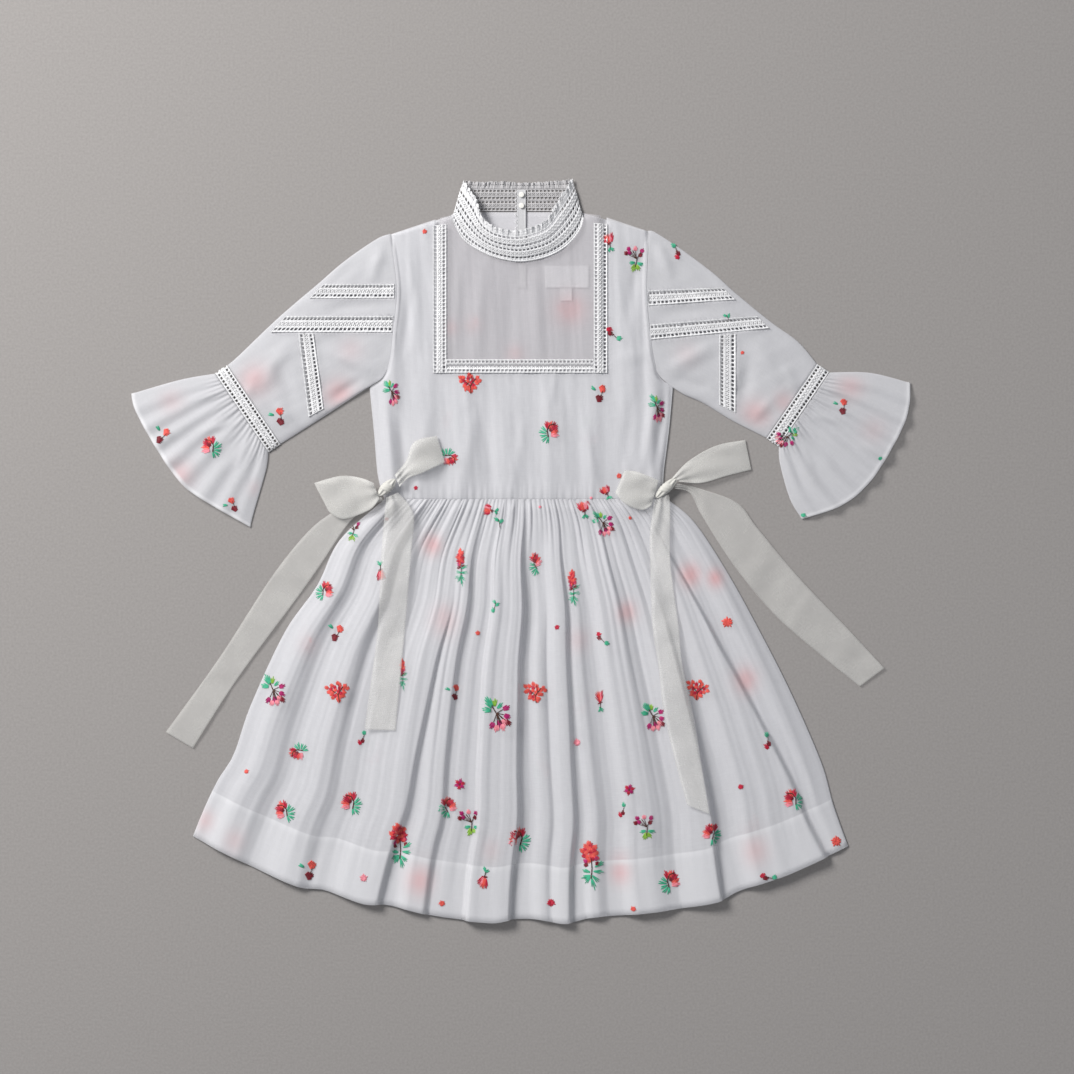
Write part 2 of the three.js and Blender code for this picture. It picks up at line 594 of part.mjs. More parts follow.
// Inside the back: the buttoned placket, and two bare labels below the neck
function backDetails(ground) {
  const box = (x0, x1, y0, y1) => [[x0, y0], [x1, y0], [x1, y1], [x0, y1]];
  const placket = band(ground, box(-4, 5, 262, 360), 12, 1, GROUND_CELL, LACE).mesh('back_placket', ORGANDY);
  ground.lay(placket);
  const buttons = [344, 355].map((y, i) => {
    const dome = new THREE.LatheGeometry([[0, 0], [2.6, 0], [2.8, 0.7], [1.8, 1.5], [0, 1.8]]
      .map(([r, z]) => new THREE.Vector2(r, z)), 12);
    dome.rotateX(Math.PI / 2);
    dome.translate(0.5, y, ground.clear(0.5, y, 3));
    return named(dome, `back_button_${i + 1}`, BUTTON_WHITE);
  });
  const label = plate(box(24, 68, 262, 284), FRONT_BED, 0.8, 'neck_label', ORGANDY);
  const tab = plate(box(39, 51, 249, 261.4), FRONT_BED, 0.8, 'size_tab', ORGANDY);
  return [placket, ...buttons, label, tab];
}

// Ribbon ties. A tail is one layer that bridges the folds below it, a loop is two layers with a gap
const TAIL_STEPS = 24;
const LOOP_STEPS = 8;
const LOOP_GAP = 2.4; // least height of a loop where it enters the knot

const ruled = ({ edges }) => {
  const [a, b] = edges.map(curve);
  return (u, v) => {
    const [p, q] = [a.getPointAt(v), b.getPointAt(v)];
    return [lerp(p.x, q.x, u), lerp(p.y, q.y, u)];
  };
};

// Each tail and loop leaves the knot at the knot's middle height and comes down within this many millimetres
const FALL = 16;

function tail(ground, name, row, hub) {
  const plan = ruled(row);
  const place = (i, j) => plan(i / 2, j / TAIL_STEPS);
  const reach = 9;
  const length = curve(row.edges[0]).getLength();
  const lift = (i, j) => {
    const leaving = (hub - RIBBON / 2) * (1 - smooth((j / TAIL_STEPS) * (length / FALL)));
    return Math.max(leaving, ...[0, 1, 2].map((k) => ground.clear(...place(k, j), reach)));
  };
  return wall(2, TAIL_STEPS, place, lift, RIBBON).mesh(name, RIBBON_IVORY);
}

function loop(ground, name, row, hub) {
  const plan = ruled(row);
  const length = curve(row.edges[0]).getLength();
  const rest = (v) => Math.max((hub - LOOP_GAP / 2) * (1 - smooth(v * (length / FALL))),
    ...[0, 0.25, 0.5, 0.75, 1].map((u) => ground.clear(...plan(u, v), 8)));
  const floor = (u, v) => rest(v);
  const roof = (u, v) => rest(v) + LOOP_GAP + (row.rise - LOOP_GAP) * Math.sin(Math.PI * v ** 0.8) ** 0.7;
  return tube({ stations: 3, over: LOOP_STEPS, under: LOOP_STEPS, plan, floor, roof, cloth: 0.9 })
    .mesh(name, RIBBON_IVORY);
}

function knot(side, { at, size, turn }, hub) {
  const lump = new THREE.SphereGeometry(0.5, 12, 8);
  lump.rotateX(Math.PI / 2);
  lump.scale(...size);
  lump.rotateZ(turn);
  lump.translate(at[0], at[1], hub);
  return named(lump, `knot_${side}`, RIBBON_IVORY);
}

function tie(ground, side) {
  const { tails, loops, knot: lump } = TIES[side];
  const hub = ground.clear(...lump.at, 4) + lump.size[2] / 2;
  const parts = [];
  const add = (mesh) => {
    ground.lay(mesh);
    parts.push(mesh);
  };
  for (const [name, row] of Object.entries(tails)) add(tail(ground, name, row, hub));
  for (const [name, row] of Object.entries(loops)) add(loop(ground, name, row, hub));
  add(knot(side, lump, hub));
  return parts;
}

function dress() {
  const group = new THREE.Group();
  const ground = new Ground();
  const lay = (...meshes) => meshes.forEach((mesh) => {
    ground.lay(mesh);
    group.add(mesh);
  });
  lay(backSkirt(), backBodice(), collarBack(), frillBack());
  group.add(...backDetails(ground));
  lay(frontSkirt(), frontBodice(), frontYoke());
  lay(...sleeveParts('left'), ...sleeveParts('right'));
  lay(...yokeLace(ground));
  for (const { name, corners } of SLEEVE_LACE) {
    lay(band(ground, corners, 2, 8, GROUND_CELL, LACE).mesh(name, LACE_WHITE));
  }
  lay(collarFront(), frillFront());
  group.add(...tie(ground, 'left'), ...tie(ground, 'right'));
  return group;
}

export default dress();
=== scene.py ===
import logging
from dataclasses import dataclass, field
from enum import Enum
from typing import Callable, Sequence

import bmesh
import bpy
import numpy as np
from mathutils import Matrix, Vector
from mathutils.bvhtree import BVHTree


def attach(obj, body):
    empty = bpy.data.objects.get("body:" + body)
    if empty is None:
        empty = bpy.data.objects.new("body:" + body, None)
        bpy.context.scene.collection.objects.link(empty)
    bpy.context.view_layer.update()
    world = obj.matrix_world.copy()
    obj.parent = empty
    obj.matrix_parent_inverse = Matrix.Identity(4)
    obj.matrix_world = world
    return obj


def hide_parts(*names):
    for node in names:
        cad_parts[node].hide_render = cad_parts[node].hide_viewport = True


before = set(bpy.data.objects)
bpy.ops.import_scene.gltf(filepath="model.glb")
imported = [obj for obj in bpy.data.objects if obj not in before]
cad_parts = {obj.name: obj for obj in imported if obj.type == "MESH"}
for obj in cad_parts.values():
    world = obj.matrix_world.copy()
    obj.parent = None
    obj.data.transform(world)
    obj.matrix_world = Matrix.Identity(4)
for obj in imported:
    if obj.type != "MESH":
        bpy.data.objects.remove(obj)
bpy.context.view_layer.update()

# A child's organdy dress laid flat on its back. Sizes are millimetres until a mesh is made, X runs to the
# right sleeve as seen from above, Y up to the collar, and Z up off the surface.
MM = 0.001
CLOTH = 1.2  # wall of a cloth panel's solid, whose middle the thin cloth follows
LACE = 1.0  # wall of a lace band's solid
SEAM = 0.3
FRONT_BED = CLOTH + SEAM
WAIST_Y = 51.0
YOKE_BOTTOM = 183.5
YOKE_LEFT = -81.0
YOKE_RIGHT = 79.5
LACE_WIDTH = 13.5
LACE_PITCH = 3.9  # from one lace hole to the next
THIN = 0.36  # thickness of the cloth itself
FLOOR = 0.35  # height of a flat tube's lower layer
MEETING = 0.9  # height at which its two layers meet
WELD = 0.02 * MM  # how near to each other lace points are made one
SIDES = ((0, -1), (1, 0), (0, 1), (-1, 0))  # steps to the cells round a cell

Piece = bpy.types.Object
Socket = bpy.types.NodeSocket
Grid = np.ndarray
Pair = tuple[float, float]
Colour = tuple[float, float, float]
Places = Sequence[Pair]
Spots = tuple[tuple[float, float, float, float], ...]  # a place in plan and two more values each
Creases = tuple[tuple[float, ...], ...]  # two ends in plan, a height and a width each
Plan = Callable[[Grid, Grid], Grid]  # places or heights from two shares

SKIRT_SIDE_LEFT: Places = ((-328, -286), (-316, -257), (-303, -230), (-287, -204), (-270, -155), (-236, -82),
                           (-204, -36), (-181, 10), (-136, 50.85))
SKIRT_SIDE_RIGHT: Places = ((327, -296), (312, -254), (300, -212), (270, -143), (238, -80), (206, -22),
                            (173, 28), (146, 50.85))
HEM: Places = ((-328, -286), (-294, -304), (-252, -324), (-220, -337), (-196, -340), (-158, -353),
               (-132, -355), (-89, -365), (-33, -372), (-8, -369), (16, -369), (44, -373), (73, -367),
               (112, -364), (160, -358), (197, -351), (220, -340), (269, -323), (327, -296))
BODICE_SIDE_LEFT: Places = ((-136, 51.15), (-143, 74), (-147, 118), (-151.5, 164))
BODICE_SIDE_RIGHT: Places = ((144, 51.15), (142.5, 74), (148, 120), (152, 164.5))
ARMHOLE_LEFT: Places = ((-151, 164), (-138.5, 172), (-131, 187), (-127, 217), (-123, 262), (-130, 316))
ARMHOLE_RIGHT: Places = ((152, 164.5), (139.5, 172.5), (132.5, 188), (128, 217), (124.5, 262), (127, 319))
NECK_FRONT: Places = ((-69, 330), (-57.6, 311), (-41, 299.4), (-22, 291.8), (1, 288.6), (26.6, 293.7),
                      (45.7, 304.5), (58.4, 319.8), (62.3, 332))
FRILL_FRONT_EDGE: Places = ((-57.6, 369.6), (-45, 351), (-39.5, 334), (-27, 322.5), (-6.6, 318.5), (8, 321),
                            (25, 329), (36, 347), (50.8, 371))


def smooth(t: Grid | float) -> Grid:
    """A soft step that rises from 0 to 1 as t does."""
    t = np.clip(t, 0.0, 1.0)
    return t * t * (3.0 - 2.0 * t)


def mix(a: Grid | float, b: Grid | float, t: Grid | float) -> Grid:
    """The value a share t of the way from a to b."""
    return a + (b - a) * t


def unit(rows: Grid) -> Grid:
    """Every row at a length of one."""
    return rows / np.maximum(np.linalg.norm(rows, axis=-1, keepdims=True), 1e-9)


def lattice(columns: int, rows: int, box: Sequence[float] = (0, 1, 0, 1)) -> tuple[Grid, ...]:
    """The corners of a grid of cells over a box, given as its left, right, low and high sides."""
    across, along = np.linspace(box[0], box[1], columns + 1), np.linspace(box[2], box[3], rows + 1)
    return tuple(np.meshgrid(across, along, indexing="ij"))


def bump(x: Grid) -> Grid:
    """A rounded rise, one unit wide each side of zero."""
    return np.where(np.abs(x) < 1, 0.5 + 0.5 * np.cos(np.pi * np.clip(x, -1, 1)), 0.0)


def wander(x: Grid, seed: int) -> Grid:
    """A slow uneven wave made of four sines.

    Args:
        x: Where it is read; the longest wave is about 6 units.
        seed: Which wave it is.

    Returns:
        Its height, from about -1 to 1.
    """
    rng = np.random.default_rng(seed)
    total = np.zeros_like(np.asarray(x, float))
    for part in range(4):
        total = total + np.sin(np.asarray(x) * (1 + part * 0.83) + rng.uniform(0, 6.28)) / (1 + part)
    return total / 2.08


def show_through(x: Grid, y: Grid, flowers: Spots, tall: float = 1.0) -> Grid:
    """How strongly flowers of a lower layer show at places in plan.

    Args:
        x: The places.
        y: The places.
        flowers: Middle, size and strength of each.
        tall: How much taller than wide they are.

    Returns:
        Strengths from 0 to 1.
    """
    total = np.zeros(x.shape)
    for at_x, at_y, size, strength in flowers:
        away = ((x - at_x) / size) ** 2 + ((y - at_y) / (size * tall)) ** 2
        total = np.maximum(total, strength * np.exp(-away))
    return total


class Line:
    """A smooth line in plan through given places, read by share of its length."""

    def __init__(self, places: Places) -> None:
        """Measures the line.

        Args:
            places: What it runs through, in order.
        """
        self.places = np.asarray(places, float)
        self.steps = np.linspace(0, 1, 241)
        runs = np.hypot(*np.diff(self.spot(self.steps), axis=0).T)
        self.run = np.concatenate([[0.0], np.cumsum(runs)])
        self.length = float(self.run[-1])

    def spot(self, step: Grid) -> Grid:
        """Where the line is at a step, from 0 to 1, that gives each stretch the same share.

        Args:
            step: The steps.

        Returns:
            Places in plan, one row each.
        """
        last = len(self.places) - 1
        at = np.asarray(step, float) * last
        low = np.minimum(np.floor(at).astype(int), last - 1)
        t = (at - low)[..., None]
        before, after = self.places[np.maximum(low - 1, 0)], self.places[np.minimum(low + 2, last)]
        start, end = self.places[low], self.places[low + 1]
        way_in, way_out = (end - before) / 2, (after - start) / 2
        return ((2 * start - 2 * end + way_in + way_out) * t ** 3
                + (3 * end - 3 * start - 2 * way_in - way_out) * t ** 2 + way_in * t + start)

    def at(self, share: Grid | float) -> Grid:
        """Where the line is at a share of its length."""
        return self.spot(np.interp(np.asarray(share, float) * self.length, self.run, self.steps))


@dataclass
class Patch:
    """A patch of plan stretched between four lines that share their corners."""

    low: Line
    high: Line
    left: Line
    right: Line

    def at(self, u: Grid, v: Grid) -> Grid:
        """Places in the patch.

        Args:
            u: Share from left to right.
            v: Share from low to high.

        Returns:
            Places in plan, in the last axis.
        """
        u, v = np.broadcast_arrays(np.asarray(u, float), np.asarray(v, float))
        x, y = u[..., None], v[..., None]
        corner = [line.at(np.array(end)) for line in (self.low, self.high) for end in (0.0, 1.0)]
        return ((1 - y) * self.low.at(u) + y * self.high.at(u)
                + (1 - x) * self.left.at(v) + x * self.right.at(v)
                - (1 - x) * (1 - y) * corner[0] - x * (1 - y) * corner[1]
                - (1 - x) * y * corner[2] - x * y * corner[3])


def creased(creases: Creases, x: Grid, y: Grid) -> Grid:
    """How far soft ridges, and troughs of a height below zero, lift the cloth.

    Args:
        creases: The creases.
        x: Places in plan.
        y: Places in plan.

    Returns:
        The sum of their lifts, each of which fades towards the crease's ends.
    """
    total = np.zeros_like(x)
    for x0, y0, x1, y1, height, width in creases:
        run, rise = x1 - x0, y1 - y0
        t = np.clip(((x - x0) * run + (y - y0) * rise) / (run * run + rise * rise), 0, 1)
        away = np.hypot(x - x0 - t * run, y - y0 - t * rise)
        total = total + height * np.exp(-(away / width) ** 2) * (0.25 + 0.75 * np.sin(np.pi * t) ** 0.7)
    return total


def piece_of(name: str, source: bpy.types.ID | bmesh.types.BMesh) -> Piece:
    """Links a new object at the origin.

    Args:
        name: Its name.
        source: Its mesh, lamp or camera, or the form that its mesh is made from and that is freed.

    Returns:
        The object.
    """
    mesh = source
    if isinstance(source, bmesh.types.BMesh):
        mesh = bpy.data.meshes.new(name)
        source.to_mesh(mesh)
        source.free()
    made = bpy.data.objects.new(name, mesh)
    bpy.context.scene.collection.objects.link(made)
    return made


@dataclass
class Shell:
    """Thin cloth over a grid of middle points, with its own UV map in metres of flat cloth."""

    name: str
    points: Grid  # columns by rows by three
    thickness: float | Grid = THIN
    closed: bool = False  # the columns run all the way round
    keep: Grid | None = None  # which cells are there
    flat: Pair = (100.0, 100.0)  # size of the flat cloth that the grid stands for
    marks: dict[str, Grid] = field(default_factory=dict)

    def normals(self) -> Grid:
        """The way out of the cloth.

        Returns:
            A unit step for each grid point.
        """
        p = self.points
        across = np.roll(p, -1, axis=0) - np.roll(p, 1, axis=0) if self.closed else np.gradient(p, axis=0)
        return unit(np.cross(across, np.gradient(p, axis=1)))

    def number(self, corner: Grid) -> Grid:
        """The point that each grid corner names."""
        columns, rows = self.points.shape[:2]
        return (corner[..., 0] % columns) * rows + corner[..., 1]

    def corners(self) -> tuple[Grid, Grid]:
        """The grid corners of the cells that are there, and of the cloth's open edges.

        Returns:
            Four corners for each cell, and two for each edge, as the top goes round it.
        """
        columns, rows = self.points.shape[:2]
        cells = columns if self.closed else columns - 1
        keep = np.ones((cells, rows - 1), bool) if self.keep is None else self.keep
        i, j = np.nonzero(keep)
        cell = np.stack([np.stack([i + a, j + b], 1) for a, b in ((0, 0), (1, 0), (1, 1), (0, 1))], 1)
        padded = np.pad(keep, 1)
        if self.closed:
            padded[0, 1:-1], padded[-1, 1:-1] = keep[-1], keep[0]
        edges = []
        for side, (di, dj) in enumerate(SIDES):
            bare = ~padded[i + 1 + di, j + 1 + dj]
            edges.append(cell[bare][:, [side, (side + 1) % 4]])
        return cell, np.concatenate(edges)

    def build(self) -> Piece:
        """Makes the object, with a top, an underside and a rim.

        Returns:
            The object, at the origin, in metres.
        """
        columns, rows = self.points.shape[:2]
        half = np.broadcast_to(np.asarray(self.thickness, float), (columns, rows))[..., None] / 2
        out = self.normals()
        vertices = np.concatenate([(self.points + out * half).reshape(-1, 3),
                                   (self.points - out * half).reshape(-1, 3)]) * MM
        under = columns * rows
        cells, edges = self.corners()
        start, end = self.number(edges[:, 0]), self.number(edges[:, 1])
        rim = np.stack([end, start, start + under, end + under], 1)
        loops = np.concatenate([self.number(cells), self.number(cells[:, ::-1]) + under, rim])
        grid = np.concatenate([cells, cells[:, ::-1], edges[:, [1, 0, 0, 1]]])
        used, renumbered = np.unique(loops, return_inverse=True)
        mesh = bpy.data.meshes.new(self.name)
        mesh.from_pydata(vertices[used].tolist(), [], renumbered.reshape(-1, 4).tolist())
        mesh.polygons.foreach_set("use_smooth", np.arange(len(loops)) < len(loops) - len(rim))
        span = np.array([columns if self.closed else columns - 1, rows - 1], float)
        uv = grid.reshape(-1, 2) / span * np.array(self.flat) * MM
        mesh.uv_layers.new(name="cloth").data.foreach_set("uv", uv.astype(np.float32).ravel())
        for mark, values in self.marks.items():
            both = np.concatenate([values.ravel(), values.ravel()])[used]
            mesh.attributes.new(mark, "FLOAT", "POINT").data.foreach_set("value", both.astype(np.float32))
        mesh.update()
        return piece_of(self.name, mesh)


def solid(name: str, points: Grid) -> Piece:
    """A closed tube from rings of points, with flat ends.

    Args:
        name: The piece's name.
        points: Round the tube, by along it, by three.

    Returns:
        The object, at the origin, in metres.
    """
    sides, rows = points.shape[:2]
    i, j = np.meshgrid(np.arange(sides), np.arange(rows - 1), indexing="ij")
    n = (i + 1) % sides
    quads = np.stack([i * rows + j, n * rows + j, n * rows + j + 1, i * rows + j + 1], -1).reshape(-1, 4)
    ring_at = np.arange(sides) * rows
    faces = quads.tolist() + [ring_at[::-1].tolist(), (ring_at + rows - 1).tolist()]
    mesh = bpy.data.meshes.new(name)
    mesh.from_pydata((points.reshape(-1, 3) * MM).tolist(), [], faces)
    mesh.polygons.foreach_set("use_smooth", [len(face) == 4 for face in faces])
    uv = mesh.uv_layers.new(name="cloth")
    spots = points.reshape(-1, 3)[[loop.vertex_index for loop in mesh.loops]]
    uv.data.foreach_set("uv", (spots[:, :2] * MM).astype(np.float32).ravel())
    form = bmesh.new()
    form.from_mesh(mesh)
    bmesh.ops.recalc_face_normals(form, faces=form.faces[:])
    form.to_mesh(mesh)
    form.free()
    return piece_of(name, mesh)


class Bed:
    """Remembers the pieces laid so far, and how high they reach at a place."""

    def __init__(self) -> None:
        """Starts with nothing laid but the surface itself."""
        self.trees: list[tuple[BVHTree, Grid, Grid]] = []

    def lay(self, *pieces: Piece) -> None:
        """Adds pieces to what is laid.

        Args:
            pieces: Objects at the origin.
        """
        for piece in pieces:
            spots = vertices_of(piece.data).astype(np.float32)
            faces = [tuple(face.vertices) for face in piece.data.polygons]
            tree = BVHTree.FromPolygons(spots.tolist(), faces)
            self.trees.append((tree, spots[:, :2].min(0), spots[:, :2].max(0)))

    def height(self, places: Grid) -> Grid:
        """How high the laid pieces reach.

        Args:
            places: Places in plan, in millimetres, in the last axis.

        Returns:
            Heights in millimetres, zero on the bare surface.
        """
        flat = places.reshape(-1, 2) * MM
        found = np.zeros(len(flat))
        down = Vector((0, 0, -1))
        for tree, low, high in self.trees:
            for k in np.nonzero(np.all((flat >= low) & (flat <= high), axis=1))[0]:
                hit = tree.ray_cast(Vector((flat[k, 0], flat[k, 1], 0.1)), down)[0]
                if hit is not None:
                    found[k] = max(found[k], hit.z / MM)
        return found.reshape(places.shape[:-1])


def vertices_of(mesh: bpy.types.Mesh) -> Grid:
    """A mesh's points.

    Args:
        mesh: The mesh.

    Returns:
        Their places in metres, one row each.
    """
    spots = np.zeros(len(mesh.vertices) * 3, np.float32)
    mesh.vertices.foreach_get("co", spots)
    return spots.reshape(-1, 3)


class Nodes:
    """Adds nodes to one tree and joins them."""

    family = "ShaderNode"

    def __init__(self, name: str) -> None:
        """Makes an empty material.

        Args:
            name: Its name.
        """
        self.material = bpy.data.materials.new(name)
        self.material.use_nodes = True
        self.tree = self.material.node_tree
        self.tree.nodes.clear()

    def add(self, kind: str, settings: dict[str, object] | None = None, **sockets: object) -> bpy.types.Node:
        """Adds a node.

        Args:
            kind: Its type name, without the family's.
            settings: Properties of the node itself.
            sockets: A value or an output for each input, named by i and its number, or by its name
                with underscores for spaces.

        Returns:
            The node.
        """
        node = self.tree.nodes.new(self.family + kind)
        for key, value in (settings or {}).items():
            setattr(node, key, value)
        for key, value in sockets.items():
            numbered = key[0] == "i" and key[1:].isdigit()
            socket = node.inputs[int(key[1:]) if numbered else key.replace("_", " ")]
            if isinstance(value, Socket):
                self.tree.links.new(value, socket)
            else:
                socket.default_value = value
        return node

    def noise(self, where: Socket, scale: Sequence[float], detail: float = 2.0) -> Socket:
        """A noise pattern with its own scale each way."""
        place = self.add("Mapping", Vector=where, Scale=tuple(scale))
        return self.add("TexNoise", Vector=place.outputs["Vector"], Scale=1.0, Detail=detail).outputs["Fac"]

    def between(self, low: Colour | Socket, high: Colour | Socket, share: object, way: str = "MIX") -> Socket:
        """A colour that goes from low to high with share."""
        low, high = ((*end, 1.0) if isinstance(end, tuple) else end for end in (low, high))
        return self.add("Mix", {"data_type": "RGBA", "blend_type": way}, i0=share, i6=low, i7=high).outputs[2]

    def marked(self, base: Socket, mark: str, colour: Colour) -> Socket:
        """The base where a mark is 0, and a colour where it is 1."""
        return self.between(base, colour, self.add("Attribute", {"attribute_name": mark}).outputs["Fac"])

    def finish(self, height: Socket, strength: float, depth: float, **sockets: object) -> bpy.types.Material:
        """Adds the relief and the shader, and joins them to the output.

        Args:
            height: The relief's pattern.
            strength: How strong it is.
            depth: How deep it is, in millimetres.
            sockets: The shader's values.

        Returns:
            The material.
        """
        relief = self.add("Bump", Height=height, Strength=strength, Distance=depth * MM)
        shader = self.add("BsdfPrincipled", **sockets, Normal=relief.outputs["Normal"])
        self.add("OutputMaterial", Surface=shader.outputs[0])
        return self.material


class Steps(Nodes):
    """Adds Geometry Nodes, by their whole type names, to a tree with named inputs."""

    family = ""

    def __init__(self, name: str, **inputs: str) -> None:
        """Makes the tree.

        Args:
            name: Its name.
            inputs: The kind of socket of each named input.
        """
        self.tree = bpy.data.node_groups.new(name, "GeometryNodeTree")
        for label, kind in inputs.items():
            self.tree.interface.new_socket(label, in_out="INPUT", socket_type="NodeSocket" + kind)
        self.tree.interface.new_socket("Geometry", in_out="OUTPUT", socket_type="NodeSocketGeometry")
        self.given = self.add("NodeGroupInput").outputs

    def copies(self, unit_name: str, points: Socket, **sockets: Socket) -> Socket:
        """Sets a copy of an input's object on each point, and makes the copies real.

        Args:
            unit_name: The input's name.
            points: Where the copies go.
            sockets: Their turn and size.

        Returns:
            The geometry's output.
        """
        shape = self.add("GeometryNodeObjectInfo", Object=self.given[unit_name]).outputs["Geometry"]
        copies = self.add("GeometryNodeInstanceOnPoints", Points=points, Instance=shape, **sockets)
        return self.add("GeometryNodeRealizeInstances", i0=copies.outputs[0]).outputs[0]

    def end(self, geometry: Socket) -> bpy.types.NodeTree:
        """Sets the Finish input's material and ends the tree.

        Args:
            geometry: What the tree has made.

        Returns:
            The tree.
        """
        dressed = self.add("GeometryNodeSetMaterial", Geometry=geometry, Material=self.given["Finish"])
        self.add("NodeGroupOutput", i0=dressed.outputs[0])
        return self.tree


def run_tree(carrier: Piece, tree: bpy.types.NodeTree, inputs: dict[str, object]) -> None:
    """Runs a node tree on an object and keeps its result as a plain mesh.

    Args:
        carrier: The object whose mesh the result replaces.
        tree: The tree.
        inputs: A value for each of its named inputs.
    """
    modifier = carrier.modifiers.new("made", "NODES")
    modifier.node_group = tree
    for socket in tree.interface.items_tree:
        if socket.item_type == "SOCKET" and socket.in_out == "INPUT" and socket.name in inputs:
            modifier[socket.identifier] = inputs[socket.name]
    carrier.update_tag()
    bpy.context.view_layer.update()
    depsgraph = bpy.context.evaluated_depsgraph_get()
    mesh = bpy.data.meshes.new_from_object(carrier.evaluated_get(depsgraph))
    carrier.modifiers.clear()
    carrier.data = mesh


@dataclass(frozen=True)
class ClothFinish:
    """A woven cloth: its colour, how sheer it is, and how its threads show."""

    name: str
    colour: Colour
    alpha: float = 1.0
    roughness: float = 0.78
    thread: float = 0.9  # millimetres between the slubs that show
    relief: float = 0.10  # how deep the slubs look, in millimetres
    sheen: float = 0.25
    cloudy: float = 0.05  # how far the tone wanders
    flower_tone: Colour = (0.93, 0.36, 0.36)  # flowers of a lower layer, seen through
    double_tone: Colour = (0.96, 0.96, 0.985)  # cloth turned up on itself

    def material(self) -> bpy.types.Material:
        """Builds the finish from crossed thread noise on the cloth's own map.

        Returns:
            The material.
        """
        nodes = Nodes(self.name)
        where = nodes.add("TexCoord").outputs["UV"]
        per_metre = 1.0 / (self.thread * MM)
        warp = nodes.noise(where, (per_metre, per_metre / 14, 1), 1.5)
        weft = nodes.noise(where, (per_metre / 14, per_metre, 1), 1.5)
        threads = nodes.add("Math", {"operation": "ADD"}, i0=warp, i1=weft).outputs[0]
        cloud = nodes.noise(where, (38, 38, 1), 3.0)
        base = nodes.between(tuple(part * (1 - self.cloudy) for part in self.colour), self.colour, cloud)
        share = nodes.add("MapRange", Value=threads, i1=0.7, i2=1.3, i3=0.0, i4=1.0).outputs[0]
        shade = nodes.between((0.93, 0.93, 0.935), (1.0, 1.0, 1.0), share)
        base = nodes.between(base, shade, 1.0, "MULTIPLY")
        base = nodes.marked(base, "show_through", self.flower_tone)
        base = nodes.marked(base, "double_cloth", self.double_tone)
        return nodes.finish(threads, 0.55, self.relief, Base_Color=base, Roughness=self.roughness,
                            Alpha=self.alpha, Sheen_Weight=self.sheen, Sheen_Roughness=0.45,
                            Specular_IOR_Level=0.25)


@dataclass(frozen=True)
class ThreadFinish:
    """Embroidery thread, lace yarn or a button: a solid colour with fine strands and a soft gloss."""

    name: str
    colour: Colour
    roughness: float = 0.5
    strand: float = 0.35  # millimetres between strands
    relief: float = 0.05
    spread: float = 0.22  # how far the tone wanders from stitch to stitch
    sheen: float = 0.15

    def material(self) -> bpy.types.Material:
        """Builds the finish from noise on the piece's place.

        Returns:
            The material.
        """
        nodes = Nodes(self.name)
        where = nodes.add("TexCoord").outputs["Object"]
        tone = nodes.noise(where, (260, 260, 260), 2.0)
        fine = nodes.noise(where, (1 / (self.strand * MM),) * 3, 1.0)
        dark = tuple(part * (1 - self.spread) for part in self.colour)
        light = tuple(min(1.0, part * (1 + self.spread * 0.6)) for part in self.colour)
        share = nodes.add("MapRange", Value=tone, i1=0.32, i2=0.68, i3=0.0, i4=1.0).outputs[0]
        base = nodes.between(dark, light, share)
        return nodes.finish(fine, 0.6, self.relief, Base_Color=base, Roughness=self.roughness,
                            Sheen_Weight=self.sheen, Sheen_Roughness=0.4, Specular_IOR_Level=0.35)


class Choice(Enum):
    """A choice among finishes."""

    def made(self) -> bpy.types.Material:
        """The material, built the first time it is asked for."""
        return bpy.data.materials.get(self.value.name) or self.value.material()


WHITE: Colour = (0.84, 0.84, 0.87)


class Finish(Choice):
    """The finishes of the dress."""

    ORGANDY = ClothFinish("sheer_organdy", WHITE, alpha=0.45)
    BACK_ORGANDY = ClothFinish("back_organdy", (0.82, 0.815, 0.85), alpha=0.62)
    SLEEVE_ORGANDY = ClothFinish("sleeve_organdy", WHITE, alpha=0.42, cloudy=0.08)
    YOKE = ClothFinish("sheer_yoke", (0.70, 0.68, 0.705), alpha=0.36, thread=1.2)
    RIBBON = ClothFinish("ivory_ribbon", (0.94, 0.93, 0.90), 0.29, 0.5, 0.6, 0.05, 0.3, 0.22)
    KNOT = ClothFinish("ivory_knot", (0.66, 0.65, 0.61), 1.0, 0.5, 0.6, 0.05, 0.4)
    LABEL = ClothFinish("label_cloth", (0.95, 0.95, 0.97), alpha=0.92, relief=0.04)
    PLACKET = ClothFinish("placket_cloth", (0.72, 0.72, 0.735), alpha=0.8)
    LACE = ThreadFinish("white_lace", (0.76, 0.76, 0.775), 0.8, 0.6, 0.22, 0.12)
    # The same white lace painted darker: painted shade for the back collar and its frill, which lie under the
    # standing front collar.
    SHADED_BACK_LACE = ThreadFinish("inner_lace", (0.50, 0.49, 0.50), 0.8, 0.6, 0.2, 0.12)
    PEARL = ThreadFinish("pearl_button", (0.86, 0.85, 0.81), 0.25, 3.0, 0.02, 0.05)


class Thread(Choice):
    """Embroidery thread colours."""

    CORAL = ThreadFinish("coral_thread", (0.76, 0.095, 0.075))
    CRIMSON = ThreadFinish("crimson_thread", (0.52, 0.012, 0.045))
    MAROON = ThreadFinish("maroon_thread", (0.20, 0.008, 0.02))
    MAGENTA = ThreadFinish("magenta_thread", (0.42, 0.01, 0.14))
    PINK = ThreadFinish("pink_thread", (0.84, 0.27, 0.33))
    MINT = ThreadFinish("mint_thread", (0.055, 0.43, 0.25))
    LIME = ThreadFinish("lime_thread", (0.24, 0.45, 0.05))
    BROWN = ThreadFinish("brown_thread", (0.07, 0.025, 0.015))


CORAL, CRIMSON, MAROON, MAGENTA, PINK, MINT, LIME, BROWN = Thread


